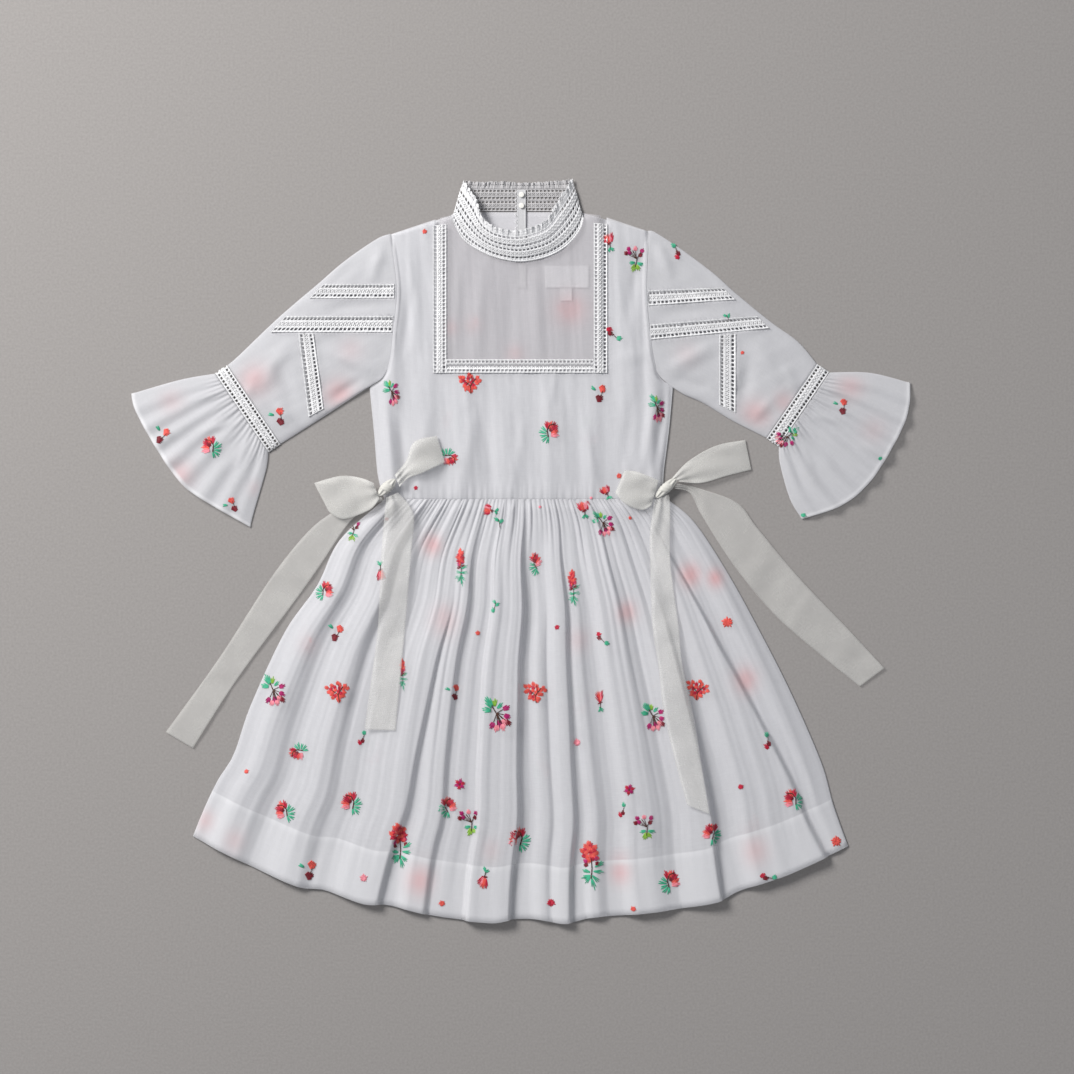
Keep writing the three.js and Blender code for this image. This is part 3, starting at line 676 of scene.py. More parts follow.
def dress(piece: Piece, finish: Choice, slot: str, *nodes: str) -> Piece:
    """Gives a piece its material and its body, and hides the solids that it stands for.

    Args:
        piece: The finished mesh object.
        finish: Its finish.
        slot: Not used.
        nodes: The solids that it replaces.

    Returns:
        The same object.
    """
    piece.data.materials.clear()
    piece.data.materials.append(finish.made())
    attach(piece, "root")
    if nodes:
        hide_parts(*nodes)
    logging.info("%s: %d faces", piece.name, len(piece.data.polygons))
    return piece


@dataclass(frozen=True)
class Fold:
    """A large fold of the skirt, with its edges counted in gathers at the waist and at the hem."""

    left: Pair
    right: Pair
    slopes: Pair  # how wide its left and right slopes are
    height: float
    start: float = 0.0  # share of the way down at which it begins

    def at(self, gather: Grid, down: Grid) -> Grid:
        """How far the fold stands up.

        Args:
            gather: Place across, in gathers.
            down: Share of the way from the waist to the hem.

        Returns:
            Heights in millimetres.
        """
        bend = 0.06 * wander(down * 6 + self.height, 40) * smooth(down * 2)
        rise = smooth((gather - mix(*self.left, down) - bend) / self.slopes[0])
        fall = smooth((mix(*self.right, down) + bend - gather) / self.slopes[1])
        return self.height * smooth((down - self.start + 0.08) / 0.3) * rise * fall


@dataclass
class Skirt:
    """The gathered skirt: a front with folds, its turned-up hem, and the back below."""

    waist: Plan  # height of the bodice above its bed, in plan
    gathers: int = 36
    columns: int = 440
    rows: int = 84
    hem_share: float = 0.125
    facing_cells: tuple[int, int] = (240, 12)
    back_cells: tuple[int, int] = (144, 32)
    closing: float = 160.0  # how steeply the two edges come down, per share of the width
    folds: tuple[Fold, ...] = (
        Fold((.2, .2), (3.0, 3.4), (1.4, 1.0), 4.2, -.2),
        Fold((3.0, 3.6), (6.4, 6.9), (2.2, .9), 5.2), Fold((8.6, 7.2), (12.6, 10.7), (2.6, .35), 6.2, .2),
        Fold((11.4, 11.2), (13.4, 13.2), (.9, .35), 5.0, .1),
        Fold((14.9, 15.0), (17.9, 17.65), (.32, .2), 7.4, .05),
        Fold((18.3, 18.4), (19.9, 20.0), (.8, .7), 3.4, .25),
        Fold((19.6, 19.2), (21.8, 20.9), (1.4, .3), 6.6, .1),
        Fold((21.6, 21.4), (22.9, 22.8), (.5, .7), 3.6, .2),
        Fold((23.6, 23.5), (26.8, 27.0), (.9, 2.0), 6.4, .1),
        Fold((26.6, 26.2), (29.7, 28.95), (2.2, .22), 7.6, .3),
        Fold((30.0, 29.9), (31.4, 34.9), (1.2, .35), 6.4, .1),
        Fold((33.0, 35.0), (36.2, 36.2), (.5, .5), 2.4))
    shown: Spots = (
        (-316, -270, 9, .5), (-286, -290, 10, .35), (-101, -330, 12, .8), (-89, 5, 9, .5),
        (99, -322, 10, .75), (234, -300, 12, .5), (169, -25, 10, .55), (194, -28, 8, .6), (106, -62, 9, .45),
        (224, -130, 11, .45), (-76, -70, 13, .25), (-30, -300, 9, .15), (-212, -95, 9, .15),
        (58, -90, 10, .18))

    def plan(self) -> Patch:
        """The skirt's outline as a patch from the hem up to the waist."""
        waist = Line(((-136, WAIST_Y - SEAM / 2), (146, WAIST_Y - SEAM / 2)))
        return Patch(Line(HEM), waist, Line(SKIRT_SIDE_LEFT), Line(SKIRT_SIDE_RIGHT))

    def height(self, gather: Grid, down: Grid) -> Grid:
        """How far the front stands off its bed.

        Args:
            gather: Place across, in gathers.
            down: Share of the way from the waist to the hem.

        Returns:
            Heights in millimetres.
        """
        edge = smooth(np.minimum(gather, self.gathers - gather) / 1.2)
        phase = gather + 0.3 * np.sin(gather * 2.4) + 0.12 * np.sin(gather * 6.1)
        own = np.floor(phase)
        length = 2.6 + 1.7 * np.sin(own * 12.9898)  # each gather runs down its own distance
        deep = 0.72 + 0.4 * np.sin(own * 78.233)
        wave = np.abs(np.sin(np.pi * phase)) ** 0.65
        small = deep * mix(2.6, 0.08, smooth(down * length) ** 0.7) * wave * mix(0.2, 1, smooth(down * 26))
        pleats = np.abs(np.sin(5.3 * gather + 2 * np.sin(gather * 0.9))) ** 0.7
        small = small + 0.9 * pleats * (1 - smooth(down * 7))
        belly = 1.6 * np.sin(np.pi * np.clip(down * 1.1, 0, 1))
        soft = 0.5 + 0.5 * np.sin(2.9 * gather + 1.9 * np.sin(gather * 0.8) + down * 1.2)
        soft = 1.2 * soft ** 1.6 * smooth(down * 3) * (1 - 0.4 * down)
        large = np.max([fold.at(gather, down) for fold in self.folds], axis=0)
        fine = 0.4 * wander(gather * 5.1 + down * 2, 7) * smooth(down * 4) * smooth((1 - down) * 6)
        return edge * (small + belly + soft + large + fine)

    def grid(self, columns: int, rows: int, low: float = 0.0, high: float = 1.0) -> tuple[Grid, ...]:
        """Shares, places and heights over the front.

        Args:
            columns: Cells across.
            rows: Cells from low to high.
            low: Share of the height at which it starts, from the hem.
            high: Share of the height at which it ends.

        Returns:
            Share across, share down, plan, and the height of the cloth's middle.
        """
        u = np.linspace(0, 1, columns + 1)[:, None]
        v = mix(low, high, 1 - (1 - np.linspace(0, 1, rows + 1)) ** 1.35)
        near = int(np.argmin(np.abs(v - self.hem_share)))
        if high == 1.0:
            v[near], v[near + 1] = self.hem_share - 0.001, self.hem_share + 0.0015
        v = v[None, :]
        plan = self.plan().at(u, v)
        gather, down = np.broadcast_arrays(u * self.gathers, 1 - v)
        lift = FRONT_BED + CLOTH / 2 + self.height(gather, down)
        seam = self.waist(plan[..., 0], np.full_like(down, WAIST_Y)) + 0.3
        lift = lift + seam * (1 - smooth(down * 7)) * smooth(np.minimum(gather, self.gathers - gather) / 1.2)
        return u, down, plan, lift

    def double(self, down: Grid) -> Grid:
        """Where the hem is turned up, with a brighter line at its stitched edge."""
        edge = (1 - down) / self.hem_share
        return np.where(edge < 1, 0.4 + 0.4 * smooth((edge - 0.9) * 12), 0.0)

    def build(self, bed: Bed) -> None:
        """Builds and dresses the front, the hem facing and the back.

        Args:
            bed: What is laid so far; the skirt is added to it.
        """
        back = self.back()
        u, down, plan, lift = self.grid(self.columns, self.rows)
        lift = mix(1.15, lift, smooth(np.minimum(u, 1 - u) * self.closing))
        shown = show_through(plan[..., 0], plan[..., 1], self.shown, 1.15)
        front = Shell("skirt_front", np.dstack([plan, lift]), flat=(760, 465),
                      marks={"show_through": shown, "double_cloth": self.double(down)}).build()
        u, down, plan, lift = self.grid(*self.facing_cells, 0.0, self.hem_share)
        lift = mix(1.1, lift - 0.42, smooth(np.minimum(u, 1 - u) * self.closing))
        facing = Shell("skirt_hem_facing", np.dstack([plan, lift]), thickness=0.3, flat=(760, 50)).build()
        dress(back, Finish.BACK_ORGANDY, "organdy", "back_skirt")
        dress(facing, Finish.ORGANDY, "organdy")
        dress(front, Finish.ORGANDY, "organdy", "front_skirt")
        bed.lay(back, front)

    def back(self) -> Piece:
        """The back of the skirt, flat with low ridges at its gathers.

        Returns:
            The object.
        """
        u, v = lattice(*self.back_cells)
        plan = self.plan().at(u, v)
        gather, down = u * self.gathers, 1 - v
        ridge = (0.5 - 0.5 * np.cos(2 * np.pi * gather)) * mix(0.42, 0.1, smooth(down * 1.4))
        ridge = ridge + 0.1 * wander(gather * 1.7 + 3 * down, 3) * smooth(down * 3)
        return Shell("skirt_back", np.dstack([plan, 0.42 + ridge]), flat=(760, 465)).build()


@dataclass(frozen=True)
class UprightFold:
    """A soft upright fold of the bodice, its place and half width as shares of the width."""

    at: float
    height: float
    reach: float
    end: float


@dataclass
class Bodice:
    """The bodice round three sides of the sheer yoke, and the back below."""

    side_rows: int = 6
    armhole_rows: int = 12
    back_cells: tuple[int, int] = (48, 54)
    shoulder_left: float = 331.5
    shoulder_right: float = 334.0
    folds: tuple[UprightFold, ...] = (
        UprightFold(.07, 3.1, .05, .95), UprightFold(.17, 1.7, .06, .6),
        UprightFold(.31, 2.1, .07, .5), UprightFold(.45, 1.5, .06, .45), UprightFold(.59, 2.2, .07, .55),
        UprightFold(.73, 1.5, .05, .5), UprightFold(.86, 2.2, .06, .8), UprightFold(.94, 2.8, .04, .9))
    creases: Creases = (
        (-126, 62, -138, 158, 1.5, 5), (-112, 66, -128, 150, -1.1, 6),
        (-104, 58, -92, 140, 1.0, 6), (-60, 55, -48, 132, 1.1, 7), (-30, 55, -38, 150, -0.8, 7),
        (-8, 54, 2, 128, 0.9, 6), (22, 55, 16, 160, -0.7, 8), (48, 54, 40, 150, 1.0, 6),
        (74, 55, 66, 120, 0.8, 5), (98, 62, 112, 150, -1.0, 6), (118, 64, 134, 156, 1.4, 5),
        (133, 80, 143, 150, -1.1, 4), (-104, 200, -112, 320, 1.1, 6), (-118, 196, -108, 262, -1.0, 5),
        (-90, 230, -98, 292, -0.8, 5), (104, 210, 96, 318, 1.0, 7), (118, 300, 108, 232, -1.0, 6),
        (92, 190, 132, 196, 0.7, 7), (-58, 178, -52, 140, 0.7, 4), (34, 178, 30, 146, 0.6, 4))
    shown: Spots = ((49, 240, 15, .34), (-48, 225, 9, .12), (-6, 196, 9, .18), (-70, 222, 8, .16))

    def height(self, x: Grid, y: Grid) -> Grid:
        """How far the front stands off its bed.

        Args:
            x: Places in plan.
            y: Places in plan.

        Returns:
            Heights in millimetres.
        """
        share = (x + 150) / 300
        rise = (y - WAIST_Y) / (320 - WAIST_Y)
        belly = 2.6 * (1 - np.abs(2 * np.clip(share, 0, 1) - 1) ** 5) * smooth(rise * 4 + 0.35)
        folds = np.zeros_like(x)
        for fold in self.folds:
            span = smooth((rise + 0.1) * 6) * smooth((fold.end - rise) * 4)
            folds = folds + fold.height * span * bump((share - fold.at) / fold.reach)
        return belly + folds

    def side(self, left: bool, row: Grid) -> Grid:
        """The bodice's edge from the waist to the shoulder.

        Args:
            left: Which side.
            row: Place along it, in the solid's rows.

        Returns:
            Places in plan.
        """
        seam = Line(BODICE_SIDE_LEFT if left else BODICE_SIDE_RIGHT)
        armhole = Line(ARMHOLE_LEFT if left else ARMHOLE_RIGHT)
        gap = SEAM + 0.2
        low = seam.at(np.clip(row / self.side_rows, 0, 1))
        high = armhole.at(np.clip((row - self.side_rows) / self.armhole_rows, 0, 1))
        high = high + np.array([gap if left else -gap, -gap])
        return np.where((row < self.side_rows)[..., None], low, high)

    def front_plan(self, across: Grid, row: Grid) -> Grid:
        """Places on the front, whose middle third lies between the yoke's side seams.

        Args:
            across: From 0 to 1 on the left of the yoke, to 2 below it, to 3 on its right.
            row: Place up the panel, in the solid's rows.

        Returns:
            Places in plan.
        """
        yoke_row = self.side_rows + 3
        rows = self.side_rows + self.armhole_rows

        def inner(shoulder: float) -> Grid:
            """How high the line beside the yoke is.

            Args:
                shoulder: Its height at the shoulder.

            Returns:
                Its height at each row.
            """
            below = mix(WAIST_Y + SEAM / 2, YOKE_BOTTOM, row / yoke_row)
            above = mix(YOKE_BOTTOM, shoulder, (row - yoke_row) / (rows - yoke_row))
            return np.where(row <= yoke_row, below, above)

        first = np.stack([np.full_like(row, YOKE_LEFT - SEAM), inner(self.shoulder_left)], -1)
        last = np.stack([np.full_like(row, YOKE_RIGHT + SEAM), inner(self.shoulder_right)], -1)
        a, b, c = (np.clip(across - start, 0, 1)[..., None] for start in (0, 1, 2))
        left, right = self.side(True, row), self.side(False, row)
        return left + (first - left) * a + (last - first) * b + (right - last) * c

    def build(self, bed: Bed) -> None:
        """Builds and dresses the back, the front and the yoke.

        Args:
            bed: What is laid so far; the bodice is added to it.
        """
        back, front, yoke = self.back(), self.front(), self.yoke()
        dress(back, Finish.BACK_ORGANDY, "organdy", "back_bodice")
        dress(front, Finish.ORGANDY, "organdy", "front_bodice")
        dress(yoke, Finish.YOKE, "yoke_organdy", "front_yoke")
        bed.lay(back, front, yoke)

    def back(self) -> Piece:
        """The back of the bodice, from side to side and up to the neck seam.

        Returns:
            The object.
        """
        u, row = lattice(*self.back_cells, (0, 1, 0, self.side_rows + self.armhole_rows))
        plan = mix(self.side(True, row), self.side(False, row), u[..., None])
        top = np.interp(plan[..., 0], [-130, -69.5, -66, 60, 63, 127],
                        [315.5, 334.5, 337.7, 337.7, 336.5, 318.5])
        share = smooth((row - 12) / 6.0)
        plan = np.stack([plan[..., 0], plan[..., 1] + (top - mix(315.5, 318.5, u)) * share], -1)
        lift = 0.6 + 0.12 * wander(plan[..., 0] * 0.08 + plan[..., 1] * 0.02, 5)
        return Shell("bodice_back", np.dstack([plan, lift]), flat=(306, 300)).build()

    def front(self) -> Piece:
        """The front of the bodice, left open under the middle of the lace frame.

        Returns:
            The object.
        """
        side, middle, rows = 34, 88, 108
        outer = np.linspace(0, 1, side, endpoint=False) ** 1.4
        across = np.concatenate([outer, np.linspace(1, 2, middle, endpoint=False), 2 + 1 - outer[::-1], [3]])
        across = np.sort(np.unique(across))[:, None]
        row = np.linspace(0, self.side_rows + self.armhole_rows, rows + 1)[None, :]
        across, row = np.broadcast_arrays(across, row)
        plan = self.front_plan(across, row)
        inward = np.minimum(across, 3 - across)
        armhole = smooth((row - self.side_rows - 0.3) / 2) * smooth((18.5 - row) / 2)
        outward = 1.3 * armhole * (1 - smooth(inward * 25))  # over the sleeve's seam
        plan[..., 0] += np.where(across < 1.5, -outward, outward)
        plan[..., 1] -= 1.3 * (1 - smooth(row / 1.2))  # over the skirt's seam
        x, y = plan[..., 0], plan[..., 1]
        lift = FRONT_BED + CLOTH / 2 + self.height(x, y) + 1.4 * creased(self.creases, x, y)
        lift = lift + 0.34 * wander(x * 0.27 + y * 0.01, 13)
        gathered = 0.5 + 0.5 * np.cos(x * 1.05 + 2 * np.sin(x * 0.21))
        lift = lift + 0.9 * gathered * smooth((WAIST_Y + 22 - y) / 20)
        lift = lift + 0.25 * wander(x * 0.22 + y * 0.05, 11)
        lift = lift + 0.25 * (1 - smooth(row / 1.2))
        seam = 3.35 + 2.4 * (1 - np.abs((row - self.side_rows) / 6 - 1) ** 2.4)
        lift = mix(mix(1.3, seam, armhole), lift, smooth(inward * 16))
        lift = lift + 0.7 * armhole * np.exp(-((inward - 0.03) / 0.016) ** 2)
        row, across = row[:-1, :-1], across[:-1, :-1]
        keep = (row < self.side_rows + 2.8) | (across < 0.9) | (across >= 2.1)
        return Shell("bodice_front", np.dstack([plan, lift]), keep=keep, flat=(306, 285)).build()

    def yoke(self) -> Piece:
        """The sheer yoke, cut to the neck and the shoulders.

        Returns:
            The object.
        """
        seam = Line(NECK_FRONT)
        spots = seam.at(np.linspace(0, 1, 90))
        way = unit(np.gradient(spots, axis=0))
        neck = spots + np.stack([way[:, 1], -way[:, 0]], 1) * (SEAM + 0.1)
        tops = np.concatenate([[(YOKE_LEFT, self.shoulder_left), (-75, 333), (-70, 334.2)], neck,
                               [(63.4, 336), (72, 335), (YOKE_RIGHT, self.shoulder_right)]])
        v = np.linspace(0, 1, 61)[None, :]
        bottom = YOKE_BOTTOM + SEAM
        x = np.broadcast_to(tops[:, :1], (len(tops), 61))
        y = mix(bottom, tops[:, 1:], v)
        soft = (
            (-44, 190, -38, 290, 0.9, 7), (-12, 190, -8, 280, -0.7, 8), (18, 190, 14, 276, 0.8, 7),
            (52, 190, 56, 300, -0.6, 7), (-66, 200, -60, 300, 0.5, 5))
        lift = FRONT_BED + self.height(x, y) + 0.4 + CLOTH / 2 + 1.9 * creased(soft, x, y)
        lift = lift + 0.3 * wander(x * 0.3 + y * 0.02, 14)
        return Shell("yoke", np.dstack([x, y, lift]), flat=(165, 155),
                     marks={"show_through": show_through(x, y, self.shown)}).build()


def swelling(share: Grid) -> Grid:
    """How far a flat tube's layers have parted at a share across it."""
    return np.sqrt(np.maximum(0, 1 - np.abs(2 * share - 1) ** 12))


def ring(plan: Plan, roof: Plan, stations: int, half: int) -> tuple[Grid, Grid]:
    """A flattened tube of cloth with rounded fold edges.

    Args:
        plan: Places in plan from share along and share across.
        roof: Height of the upper layer's middle.
        stations: Cells along it.
        half: Cells across each layer.

    Returns:
        Points round by along by three, and the share across of each column.
    """
    share = 0.5 - 0.5 * np.cos(np.linspace(0, np.pi, half + 1))
    across = np.concatenate([share[:-1], share[::-1][:-1]])
    v, u = np.meshgrid(across, np.linspace(0, 1, stations + 1), indexing="ij")
    high = MEETING + (roof(u, v) - MEETING) * swelling(v)
    low = MEETING - (MEETING - FLOOR) * swelling(v)
    upper = np.arange(2 * half)[:, None] >= half
    return np.dstack([plan(u, v), np.where(upper, high, low)]), across


def inner_share(across: Grid, power: int) -> Grid:
    """1 over the middle of a tube's upper layer, which falls to 0 at its folds, and 0 below."""
    over = np.arange(len(across)) > len(across) // 2
    return over[:, None] * (1 - np.abs(2 * across - 1)[:, None] ** power)


@dataclass
class Sleeve:
    """An elbow sleeve with its lace cuff and gathered flounce, each a flattened tube."""

    side: str
    armhole: Places
    upper: Places
    lower: Places
    wrist: Places
    cuff: Places
    flounce_upper: Places
    flounce_lower: Places
    flounce_hem: Places
    bands: tuple[tuple[str, Places], ...]  # lace bands, each with its four corners
    creases: Creases
    flounce_creases: Creases
    shown: Spots
    waves: int = 8
    edge: float = 3.2
    depth: float = 1.0  # how deep the flounce's waves are
    cells: tuple[int, int] = (72, 64)  # along the sleeve, and across each of its layers
    flounce_cells: tuple[int, int] = (38, 126)

    def roof(self, u: Grid, v: Grid) -> Grid:
        """Height of the sleeve's upper surface."""
        swell = 2.4 + 0.7 * np.sin(5 * v + 6 * u) * np.sin(np.pi * u)
        return self.edge + (1 - np.abs(2 * v - 1) ** 2.4) * swell

    def flounce_roof(self, u: Grid, v: Grid) -> Grid:
        """Height of the flounce's upper surface, with fine gathers that merge into waves.

        Args:
            u: Share along it.
            v: Share across it.

        Returns:
            Heights in millimetres.
        """
        wave = 0.5 - 0.5 * np.cos(2 * np.pi * (v * self.waves + 0.12 * np.sin(9 * v)))
        fine = 0.5 - 0.5 * np.cos(2 * np.pi * (v * 21 + 0.4 * np.sin(7 * v)))
        own = 0.55 + 0.45 * np.sin(np.floor(v * 21) * 7.7)
        height = 1.2 + self.depth * (mix(0.9, 2.2, u) * wave + 1.2 * fine * (1 - smooth(u * (2.0 + own * 2))))
        return self.edge + (1 - np.abs(2 * v - 1) ** 4) * height

    def gap(self, places: Places, sign: float) -> Places:
        """A seam line moved out or in along the sleeve by the seam's clear gap."""
        out = -0.83 if self.side == "left" else 0.83
        return tuple((x + out * SEAM * sign, y - 0.56 * SEAM * sign) for x, y in places)

    def inside_bands(self, x: Grid, y: Grid, inset: float) -> Grid:
        """Which places lie in a lace band.

        Args:
            x: Places in plan.
            y: Places in plan.
            inset: How far from the band's long edges they lie at least.

        Returns:
            True for each such place.
        """
        found = np.zeros(x.shape, bool)
        for _, corners in self.bands:
            a, b, c, d = (np.array(corner, float) for corner in corners)
            inside = np.ones(x.shape, bool)
            for start, end, margin in ((a, b, inset), (b, c, 0.5), (c, d, inset), (d, a, 0.5)):
                way = (end - start) / np.linalg.norm(end - start)
                turn = 1.0 if np.cross(b - a, d - a) > 0 else -1.0
                away = turn * (way[0] * (y - start[1]) - way[1] * (x - start[0]))
                inside &= away > margin
            found |= inside
        return found

    def build(self, bed: Bed) -> None:
        """Builds and dresses the sleeve and the flounce.

        Args:
            bed: What is laid so far; the sleeve is added to it.
        """
        plan = Patch(Line(self.lower), Line(self.upper), Line(self.armhole), Line(self.wrist)).at
        points, across = ring(plan, lambda u, v: self.roof(u, v) - 0.3, *self.cells)
        x, y = points[..., 0], points[..., 1]
        inner = inner_share(across, 6)
        from_seam = smooth(np.linspace(0, 1, points.shape[1]) * 14)
        points[..., 2] += inner * from_seam * (
            2.1 * creased(self.creases, x, y) + 0.55 * wander(x * 0.11 + y * 0.13, 21)
            + 0.35 * wander(x * 0.09 - y * 0.16, 23))
        middle = (points + np.roll(points, -1, axis=0))[:, :-1] / 2 + (points[:, 1:] - points[:, :-1]) / 2
        over = np.arange(len(across)) > len(across) // 2
        cut = (over & np.roll(over, -1))[:, None] & self.inside_bands(middle[..., 0], middle[..., 1], 1.6)
        sleeve = Shell(f"sleeve_{self.side}_cloth", points, closed=True, keep=~cut, flat=(300, 170),
                       marks={"show_through": show_through(x, y, self.shown) * inner}).build()
        flounce = self.flounce()
        dress(sleeve, Finish.SLEEVE_ORGANDY, "organdy", f"sleeve_{self.side}")
        dress(flounce, Finish.SLEEVE_ORGANDY, "organdy", f"flounce_{self.side}")
        bed.lay(sleeve, flounce)

    def flounce(self) -> Piece:
        """The gathered flounce below the cuff, with its narrow hem.

        Returns:
            The object.
        """
        plan = Patch(Line(self.flounce_lower), Line(self.flounce_upper), Line(self.cuff),
                     Line(self.flounce_hem)).at
        points, across = ring(plan, lambda u, v: self.flounce_roof(u, v) - 0.3, *self.flounce_cells)
        x, y = points[..., 0], points[..., 1]
        inner = inner_share(across, 8)
        points[..., 2] += inner * creased(self.flounce_creases, x, y)
        hem = smooth((np.linspace(0, 1, points.shape[1]) - 0.955) * 200)
        marks = {"show_through": show_through(x, y, self.shown) * inner,
                 "double_cloth": np.broadcast_to(0.8 * hem, x.shape)}
        return Shell(f"flounce_{self.side}_cloth", points, THIN + 0.5 * hem, True, None, (360, 108),
                     marks).build()


SLEEVES = (
    Sleeve(
        "left", ARMHOLE_LEFT,
        upper=((-130, 316), (-144, 311), (-176, 289), (-204, 265), (-242, 232.5), (-282, 194.3),
            (-293.3, 184.7)),
        lower=((-151, 164), (-166, 154), (-198, 133), (-240.3, 106.2)),
        wrist=((-240.3, 106.2), (-293.3, 184.7)),
        cuff=((-252.7, 97.8), (-305.7, 176.3)),
        flounce_upper=((-305.7, 176.3), (-341, 170), (-389.5, 156)),
        flounce_lower=((-252.7, 97.8), (-255, 80), (-266, 42), (-271, 23)),
        flounce_hem=((-271, 23), (-324, 54), (-344, 72), (-367, 106), (-385, 139), (-389.5, 156)),
        bands=(("lace_upper_left", ((-126.5, 251.5), (-211, 251.5), (-197, 265.5), (-126.5, 265.5))),
            ("lace_lower_left", ((-129, 217.5), (-250, 217.5), (-235, 233.5), (-127.5, 233.5))),
            ("lace_side_left", ((-212, 133), (-222, 216), (-207, 216), (-197, 141)))),
        creases=((-138, 306, -150, 268, 1.2, 6), (-134, 246, -196, 240, -0.8, 5),
            (-150, 180, -196, 200, 1.1, 6), (-160, 170, -190, 150, -1.0, 5), (-236, 200, -262, 160, 1.2, 8),
            (-246, 190, -226, 150, -1.2, 8), (-262, 178, -276, 150, 0.9, 6), (-228, 128, -244, 146, 0.8, 5),
            (-166, 290, -190, 262, -0.7, 6)),
        flounce_creases=((-292, 160, -340, 148, 1.0, 5), (-284, 128, -318, 118, 1.2, 4),
            (-272, 118, -296, 86, -1.2, 5), (-270, 112, -284, 82, 1.3, 3.5), (-262, 98, -272, 60, -0.8, 4),
            (-330, 96, -360, 86, 1.0, 7)),
        shown=((-266, 170, 15, .38), (-341, 75, 13, .34), (-181, 155, 14, .5), (-350, 150, 12, .2),
            (-262, 60, 8, .35), (-170, 200, 12, .14))),
    Sleeve(
        "right", ARMHOLE_RIGHT,
        upper=((127, 319), (134, 317.5), (161, 300), (193, 276), (213.7, 257.4), (249.5, 228), (277, 208),
            (295.8, 185.8)),
        lower=((152, 164.5), (161, 156.4), (182, 147), (212, 129), (245.4, 112.2)),
        wrist=((245.4, 112.2), (295.8, 185.8)),
        cuff=((257.8, 103.8), (308.2, 177.4)),
        flounce_upper=((308.2, 177.4), (349, 177), (389, 167)),
        flounce_lower=((257.8, 103.8), (259, 86), (269, 51), (281, 31)),
        flounce_hem=((281, 31), (321, 45), (350, 70), (376, 112), (387, 140), (389, 167)),
        bands=(("lace_upper_right", ((127.5, 244), (214, 250), (202, 262), (127.5, 259))),
            ("lace_lower_right", ((129.5, 210), (248, 221.5), (236, 233.5), (129, 225))), ("lace_side_right",
            ((198, 145), (198, 214.5), (214.5, 215.5), (214.5, 137)))),
        creases=((136, 308, 150, 272, 1.2, 6), (140, 236, 196, 240, -0.8, 5), (150, 182, 190, 202, 1.1, 6),
            (156, 172, 188, 160, -1.0, 5), (232, 204, 262, 168, 1.2, 8), (228, 190, 222, 150, -1.1, 7),
            (262, 184, 276, 158, 0.9, 6), (232, 132, 250, 148, 0.8, 5), (170, 292, 196, 262, -0.7, 6)),
        flounce_creases=((296, 164, 344, 162, 1.0, 5), (290, 134, 326, 128, 1.2, 4),
            (280, 118, 304, 88, -1.2, 5), (276, 112, 292, 84, 1.3, 3.5), (268, 100, 282, 62, -0.8, 4),
            (334, 104, 362, 96, 1.0, 7)),
        shown=((234, 135, 14, .42), (329, 165, 13, .34), (262, 148, 10, .28), (352, 120, 12, .14),
            (165, 196, 12, .1)),
        depth=1.7),
)


@dataclass
class LaceTape:
    """Insertion lace as unit cells set end to end: corded edges, two rows of holes and a knotted middle."""

    pitch: float = LACE_PITCH
    width: float = 14.0
    thick: float = 0.7
    lines: tuple[float, ...] = (
        -7, -6.5, -6, -5.5, -3.5, -2.9, -2.3, -1.5, -0.7, 0, 0.7, 1.5, 2.3, 2.9,
        3.5, 5.5, 6, 6.5, 7)
    columns: int = 6
    holes: tuple[tuple[int, int], ...] = (
        (1, 3), (2, 3), (3, 3), (4, 3), (1, 14), (2, 14), (3, 14),
        (4, 14), (1, 7), (4, 7), (1, 10), (4, 10), (2, 8), (3, 9))

    def cell(self) -> Piece:
        """One cell, open at its two ends so that it joins the next.

        Returns:
            The cell's object, in metres.
        """
        columns, rows = self.columns, len(self.lines) - 1
        across = [self.pitch * k / columns for k in range(columns + 1)]
        form = bmesh.new()
        top = [[form.verts.new((x * MM, y * MM, (self.thick / 2 + self.knots(x, y)) * MM))
                for y in self.lines] for x in across]
        low = [[form.verts.new((x * MM, y * MM, -self.thick / 2 * MM)) for y in self.lines] for x in across]
        for a in range(columns):
            for b in range(rows):
                if (a, b) in self.holes:
                    continue
                ring_at = ((a, b), (a + 1, b), (a + 1, b + 1), (a, b + 1))
                form.faces.new([top[i][j] for i, j in ring_at])
                form.faces.new([low[i][j] for i, j in ring_at[::-1]])
                for k, (da, db) in enumerate(SIDES):
                    if ((a + da) % columns, b + db) in self.holes or not 0 <= b + db < rows:
                        (i, j), (m, n) = ring_at[k], ring_at[(k + 1) % 4]
                        form.faces.new((top[m][n], top[i][j], low[i][j], low[m][n]))
        return piece_of("lace_cell", form)

    def knots(self, x: float, y: float) -> float:
        """Height of the cords and of the knots between them.

        Args:
            x: Place along a cell.
            y: Place across it.

        Returns:
            The height in millimetres.
        """
        if abs(y) > 2.5:
            corded = 0.3 if abs(abs(y) - 6.5) < 0.1 or abs(abs(y) - 2.9) < 0.1 else 0.0
            return corded + 0.15 * np.cos(2 * np.pi * x / self.pitch)
        return 0.3 + 0.38 * np.cos(2 * np.pi * x / self.pitch + y * 1.9)

    def tree(self) -> bpy.types.NodeTree:
        """The node tree that sets cells end to end.

        Returns:
            The tree, with inputs Cell, Count, Pitch and Finish.
        """
        nodes = Steps("lace_tape", Cell="Object", Count="Int", Pitch="Float", Finish="Material")
        step = nodes.add("ShaderNodeCombineXYZ", X=nodes.given["Pitch"]).outputs[0]
        line = nodes.add("GeometryNodeMeshLine", Count=nodes.given["Count"], Offset=step).outputs["Mesh"]
        cells = nodes.copies("Cell", line)
        return nodes.end(nodes.add("GeometryNodeMergeByDistance", Geometry=cells, Distance=WELD).outputs[0])


